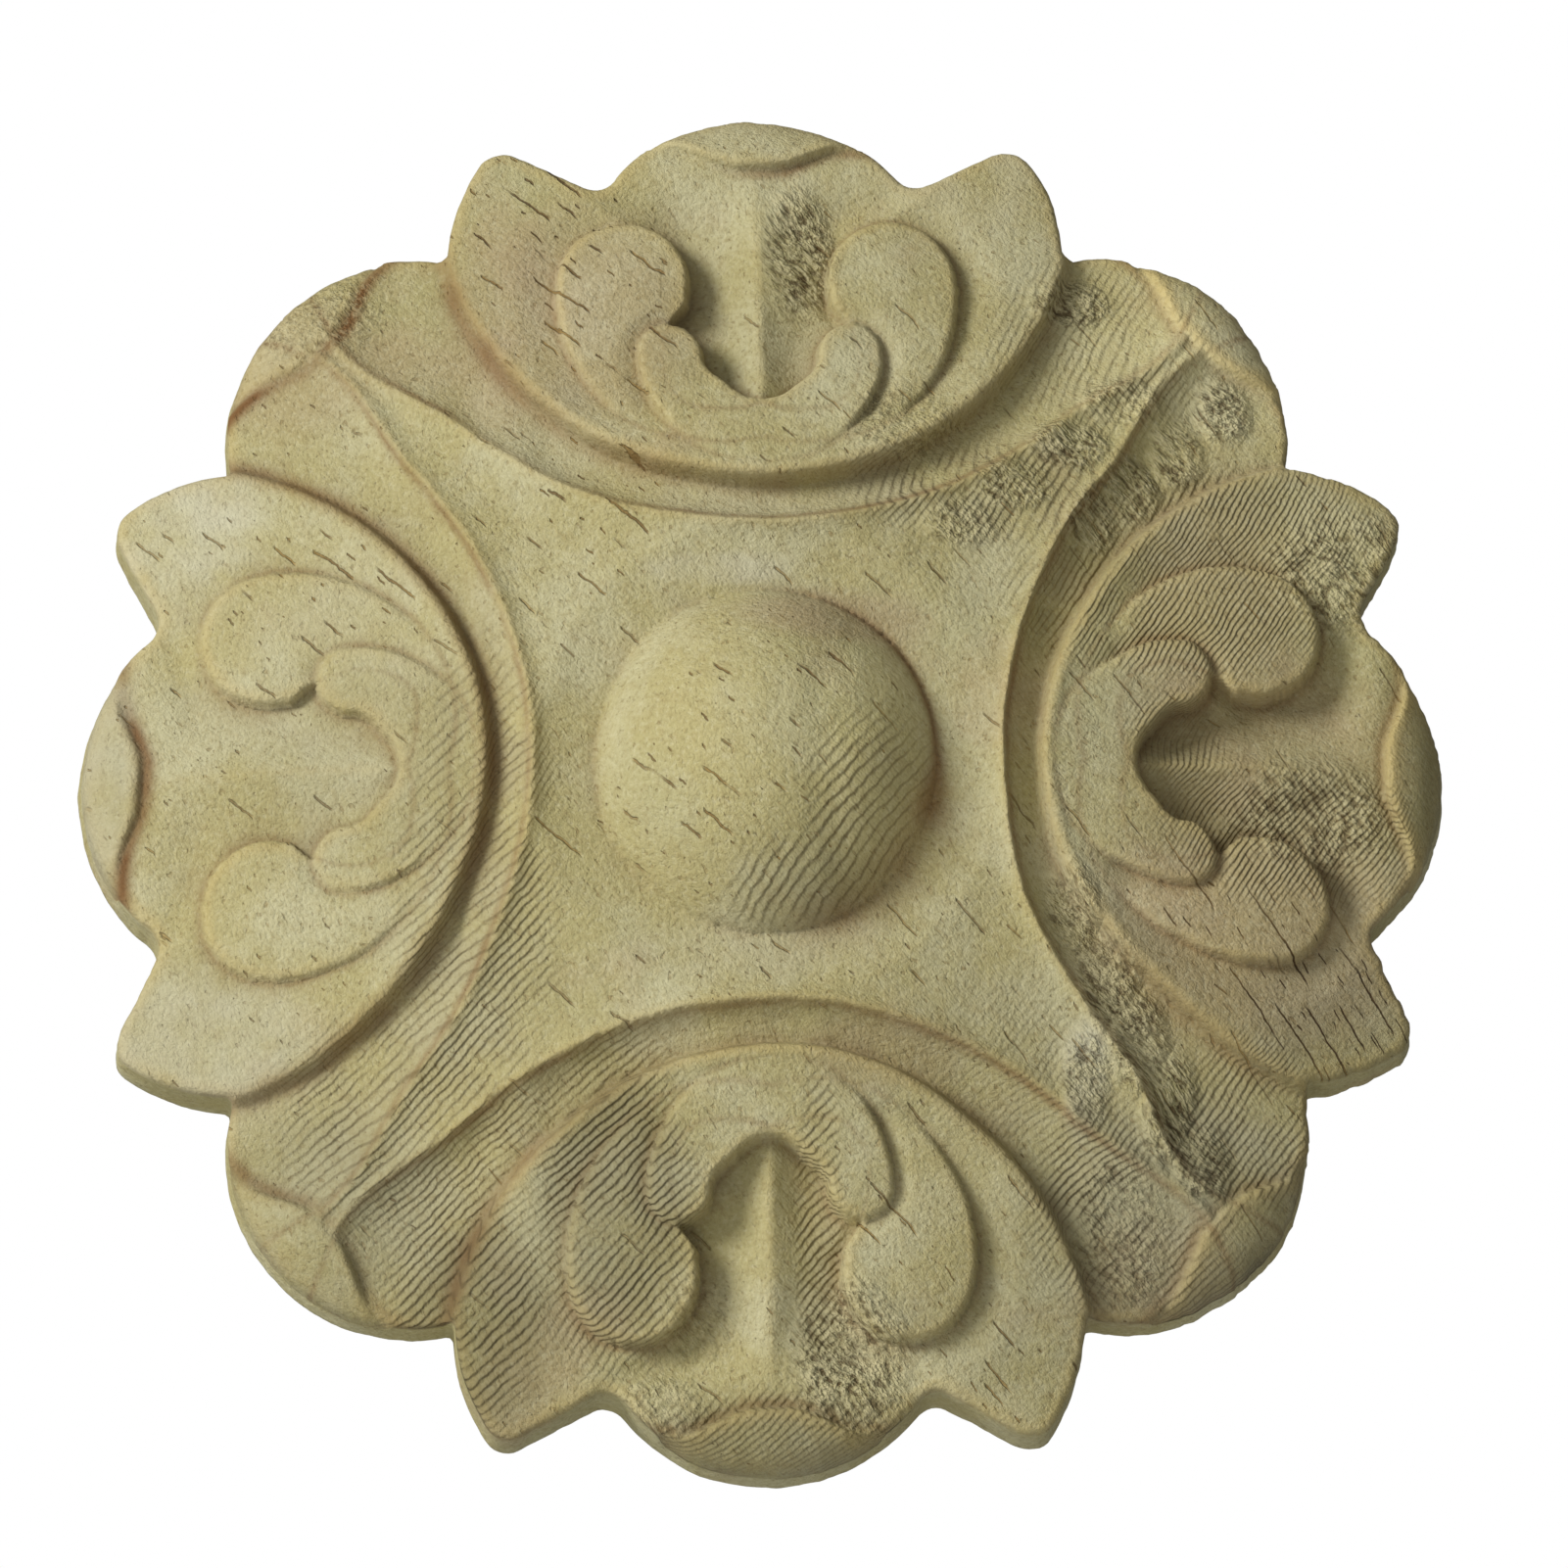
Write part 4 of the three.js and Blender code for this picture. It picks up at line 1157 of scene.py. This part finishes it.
def add_steps(n, fields, mm):
    """Fine steps where the cut followed the layers, each with a line of painted shade on its drop,
    which faces away from the light.
    """
    wander = n.times(texture(n, "wander", mm), WANDER_STEPS)
    shiver = n.times(texture(n, "shiver", mm), SHIVER_STEPS)
    saw = n.math("FRACT", n.plus(n.attribute("phase"), n.plus(wander, shiver)))
    step = n.minus(ramped(n, "step_rise", saw), ramped(n, "step_drop", saw))
    # painted shade on the narrow drop of each step
    line = n.times(ramped(n, "line_start", saw), n.minus(1.0, ramped(n, "line_end", saw)))
    patchy = ramped(n, "patchy", texture(n, "patchy", mm))
    stepped = n.times(n.attribute("stepped"), patchy)
    fields["stepped"] = stepped
    fields["steps"] = n.times(step, stepped)
    fields["step_drop_shade"] = n.times(stepped, line)


def vessels(n, mm):
    """Open vessels: long dashes where the face runs with the fibres, specks elsewhere."""
    run, cross, deep = n.dot(mm, VESSEL), n.dot(mm, VESSEL_SIDE), n.dot(mm, VESSEL_DEEP)
    cross = n.plus(cross, n.times(n.minus(texture(n, "sway", mm), NOISE_MEAN), SWAY_MM))
    kinds = []
    for cell, radius, length, closed in VESSELS:
        spread = n.join(n.over(cross, cell), n.over(deep, cell))
        inputs = {"Vector": spread, "Scale": 1.0}
        tubes = n.add("ShaderNodeTexVoronoi", inputs, voronoi_dimensions="2D").outputs
        core = n.minus(1.0, n.ramp(tubes["Distance"], radius * VESSEL_EDGE, radius))
        jitter = n.add("ShaderNodeSeparateColor", {0: tubes["Color"]}).outputs[0]
        shift = n.plus(n.over(run, length), n.times(jitter, VESSEL_JITTER))
        kinds.append(n.times(core, n.ramp(n.dashes(shift, 0.0), closed, closed + VESSEL_END)))
    return n.most(*kinds)


def cracks(n, mm, cracked):
    """Long cracks that follow the fibres in the plan, steeper towards the right."""
    spot = n.add("ShaderNodeSeparateXYZ", {0: mm}).outputs
    rightward = n.most(spot[0], 0.0)
    steepen = n.times(n.times(rightward, rightward), CRACK_STEEPEN)
    slant = n.plus(n.times(spot[0], CRACK_SLOPE), steepen)
    wobble = n.times(texture(n, "wobble", mm), WOBBLE_MM)
    drop = n.plus(n.plus(spot[2], slant), wobble)
    kinds = []
    for cell, radius, length, closed in CRACKS:
        inputs = {"W": n.over(drop, cell), "Scale": 1.0}
        lines = n.add("ShaderNodeTexVoronoi", inputs, voronoi_dimensions="1D").outputs
        core = n.minus(1.0, n.ramp(lines["Distance"], radius * CRACK_EDGE, radius))
        jitter = n.add("ShaderNodeSeparateColor", {0: lines["Color"]}).outputs[0]
        shift = n.plus(n.over(spot[0], length), n.times(jitter, CRACK_JITTER))
        here = n.plus(n.dashes(shift, 1.0), n.times(cracked, MORE_CRACKS))
        kinds.append(n.times(core, n.ramp(n.minus(here, closed), 0.0, CRACK_END)))
    return n.most(*kinds)


def stain_colour(n, mm, cracked):
    """Brown in the vessels, near black in the cracks."""
    ramp = n.ramp(texture(n, "stain", mm), *STAIN_RAMP)
    stain = n.colour(ramp, shade(*STAIN_PALE), shade(*STAIN_BROWN))
    in_cracks = n.times(n.ramp(cracked, *CRACK_STAIN_RAMP), CRACK_STAIN_SHARE)
    return n.colour(in_cracks, stain, shade(*CRACK_STAIN))


def wood_fields(n, mm):
    """All the masks that colour and roughen the wood."""
    names = ("hollow", "proud", "torn", "wall", "cracked", "pink", "crown", "bleached_and_highlit", "scorch_and_shade")
    fields = {name: n.attribute(name) for name in names}
    for name in ("broad", "blush", "mottle", "grit"):
        fields[name] = texture(n, name, mm)
    add_grain(n, fields, mm)
    add_steps(n, fields, mm)
    solid = n.minus(1.0, n.most(fields["wall"], fields["stepped"]))
    long_cracks = n.times(cracks(n, mm, fields["cracked"]), solid)
    fields["pores"] = n.most(vessels(n, mm), long_cracks)
    # painted shade in the hollows, broken up by noise
    shadow = ramped(n, "shadow", texture(n, "shadow", mm))
    fields["painted_hollow_shade"] = n.times(fields["hollow"], shadow)
    torn, fuzz = fields["torn"], fields["fuzz"]
    fields["torn_fuzz"] = n.times(fuzz, torn)
    fields["bright_fuzz"] = n.times(torn, ramped(n, "bright_fuzz", fuzz))
    # painted shade between the torn fibres
    fields["fuzz_shade"] = n.times(torn, n.minus(1.0, ramped(n, "fuzz_shade", fuzz)))
    fields["saw_marks"] = n.times(texture(n, "saw_marks", mm), fields["wall"])
    return fields


def wood_colour(n, mm, fields):
    bare = n.ramp(texture(n, "cloud", mm), *BARE_RAMP)
    tone = n.colour(bare, shade(*BARE_TAN), shade(*BARE_PALE))
    for name, ramp, strength, colour in TINTS:
        mask = n.ramp(fields[name], *ramp) if ramp else fields[name]
        tone = n.colour(n.times(mask, strength), tone, shade(*colour))
    soaked = n.plus(STAIN_SHARE, n.times(fields["cracked"], STAIN_CRACKED_SHARE))
    stain = stain_colour(n, mm, fields["cracked"])
    tone = n.colour(n.times(fields["pores"], soaked), tone, stain)
    # the colour is scaled by the painted light and shade of the shading attribute
    return n.scale(tone, n.attribute("shading"))


def wood_relief(n, fields):
    total = None
    for name, depth in RELIEF:
        part = n.times(fields[name], depth)
        total = part if total is None else n.plus(total, part)
    return total


def wood_material():
    material = bpy.data.materials.new("bare_rubberwood")
    material.use_nodes = True
    tree = material.node_tree
    tree.nodes.clear()
    n = Nodes(tree)
    mm = n.scale(n.add("ShaderNodeTexCoord").outputs["Object"], 1 / MM)
    fields = wood_fields(n, mm)
    inputs = {"Strength": 1.0, "Distance": MM, "Height": wood_relief(n, fields)}
    bump = n.add("ShaderNodeBump", inputs).outputs[0]
    look = {
        "Base Color": wood_colour(n, mm, fields),
        "Roughness": ROUGHNESS,
        "Specular IOR Level": SHINE,
        "Normal": bump,
    }
    bsdf = n.add("ShaderNodeBsdfPrincipled", look)
    n.add("ShaderNodeOutputMaterial", {"Surface": bsdf.outputs[0]})
    return material


# Studio, in metres: a pale floor, a white surround that lights softly, and two lamps,
# each with its direction, distance, size and power
FLOOR_REACH, FLOOR_LEVEL = 3.0, -0.34
FLOOR_COLOUR, FLOOR_ROUGHNESS = (0.82, 0.82, 0.81, 1), 0.9
WORLD_LIGHT, WORLD_SEEN = 0.185, 1.0
LAMPS = {
    "key": ((-0.80, -0.66, 0.32), 1.3, 0.5, 15.2),
    "fill": ((-0.3, -1.0, 0.3), 1.6, 1.2, 2.4),
}


def pale_floor():
    corners = [(-1, -1), (1, -1), (1, 1), (-1, 1)]
    mesh = bpy.data.meshes.new("floor")
    verts = [(x * FLOOR_REACH, y * FLOOR_REACH, FLOOR_LEVEL) for x, y in corners]
    mesh.from_pydata(verts, [], [(0, 1, 2, 3)])
    material = bpy.data.materials.new("pale_floor")
    material.use_nodes = True
    bsdf = material.node_tree.nodes["Principled BSDF"]
    bsdf.inputs["Base Color"].default_value = FLOOR_COLOUR
    bsdf.inputs["Roughness"].default_value = FLOOR_ROUGHNESS
    mesh.materials.append(material)
    floor = bpy.data.objects.new("floor", mesh)
    bpy.context.scene.collection.objects.link(floor)


def surround():
    """White to the camera, and softer as a light."""
    world = bpy.data.worlds.new("studio")
    bpy.context.scene.world = world
    world.use_nodes = True
    world.node_tree.nodes.clear()
    n = Nodes(world.node_tree)
    seen = n.add("ShaderNodeLightPath").outputs["Is Camera Ray"]
    strength = n.add("ShaderNodeMix", {0: seen, 2: WORLD_LIGHT, 3: WORLD_SEEN}).outputs[0]
    sky = n.add("ShaderNodeBackground", {"Color": (1, 1, 1, 1), "Strength": strength})
    n.add("ShaderNodeOutputWorld", {"Surface": sky.outputs[0]})


def lamp(name, direction, distance, size, power):
    light = bpy.data.lights.new(name, "AREA")
    light.shape = "DISK"
    light.size = size
    light.energy = power
    holder = bpy.data.objects.new(name, light)
    way = Vector(direction).normalized()
    holder.location = way * distance
    holder.rotation_euler = way.to_track_quat("Z", "Y").to_euler()
    bpy.context.scene.collection.objects.link(holder)


def studio():
    view = bpy.context.scene.view_settings
    view.view_transform = "Standard"
    view.look = "None"
    pale_floor()
    surround()
    for name, settings in LAMPS.items():
        lamp(name, *settings)


# The photograph's view: its width, middle, focal length and the rosette's middle in it,
# in pixels, and where the camera stands
PHOTO_WIDTH, PHOTO_MIDDLE, FOCAL_LENGTH = 1601, 800.5, 10060
ROSETTE_MIDDLE = (777.0, 815.6)
SENSOR_WIDTH = 36
CAMERA_TILT, CAMERA_TURN, CAMERA_ROLL = math.radians(13.5), math.radians(-1.8), math.radians(0.76)
CAMERA_DISTANCE = 0.72
CAMERA_CLIP = 0.01


def photo_camera():
    """Below and a little to the left of the rosette, as in the photograph."""
    level = math.cos(CAMERA_TILT)
    out = Vector(
        (math.sin(CAMERA_TURN) * level, -math.cos(CAMERA_TURN) * level, -math.sin(CAMERA_TILT))
    )
    data = bpy.data.cameras.new("photo_camera")
    data.sensor_width = SENSOR_WIDTH
    data.lens = SENSOR_WIDTH * FOCAL_LENGTH / PHOTO_WIDTH
    data.shift_x = (PHOTO_MIDDLE - ROSETTE_MIDDLE[0]) / PHOTO_WIDTH
    data.shift_y = -(PHOTO_MIDDLE - ROSETTE_MIDDLE[1]) / PHOTO_WIDTH
    data.clip_start = CAMERA_CLIP
    camera = bpy.data.objects.new("photo_camera", data)
    turned = out.to_track_quat("Z", "Y").to_matrix().to_4x4()
    roll = Matrix.Rotation(-CAMERA_ROLL, 4, "Z")
    camera.matrix_world = Matrix.Translation(out * CAMERA_DISTANCE) @ turned @ roll
    bpy.context.scene.collection.objects.link(camera)
    bpy.context.scene.camera = camera


rosette = build_rosette()
rosette.data.materials.append(wood_material())
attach(rosette, "root")
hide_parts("rosette")
studio()
photo_camera()

bpy.context.view_layer.update()
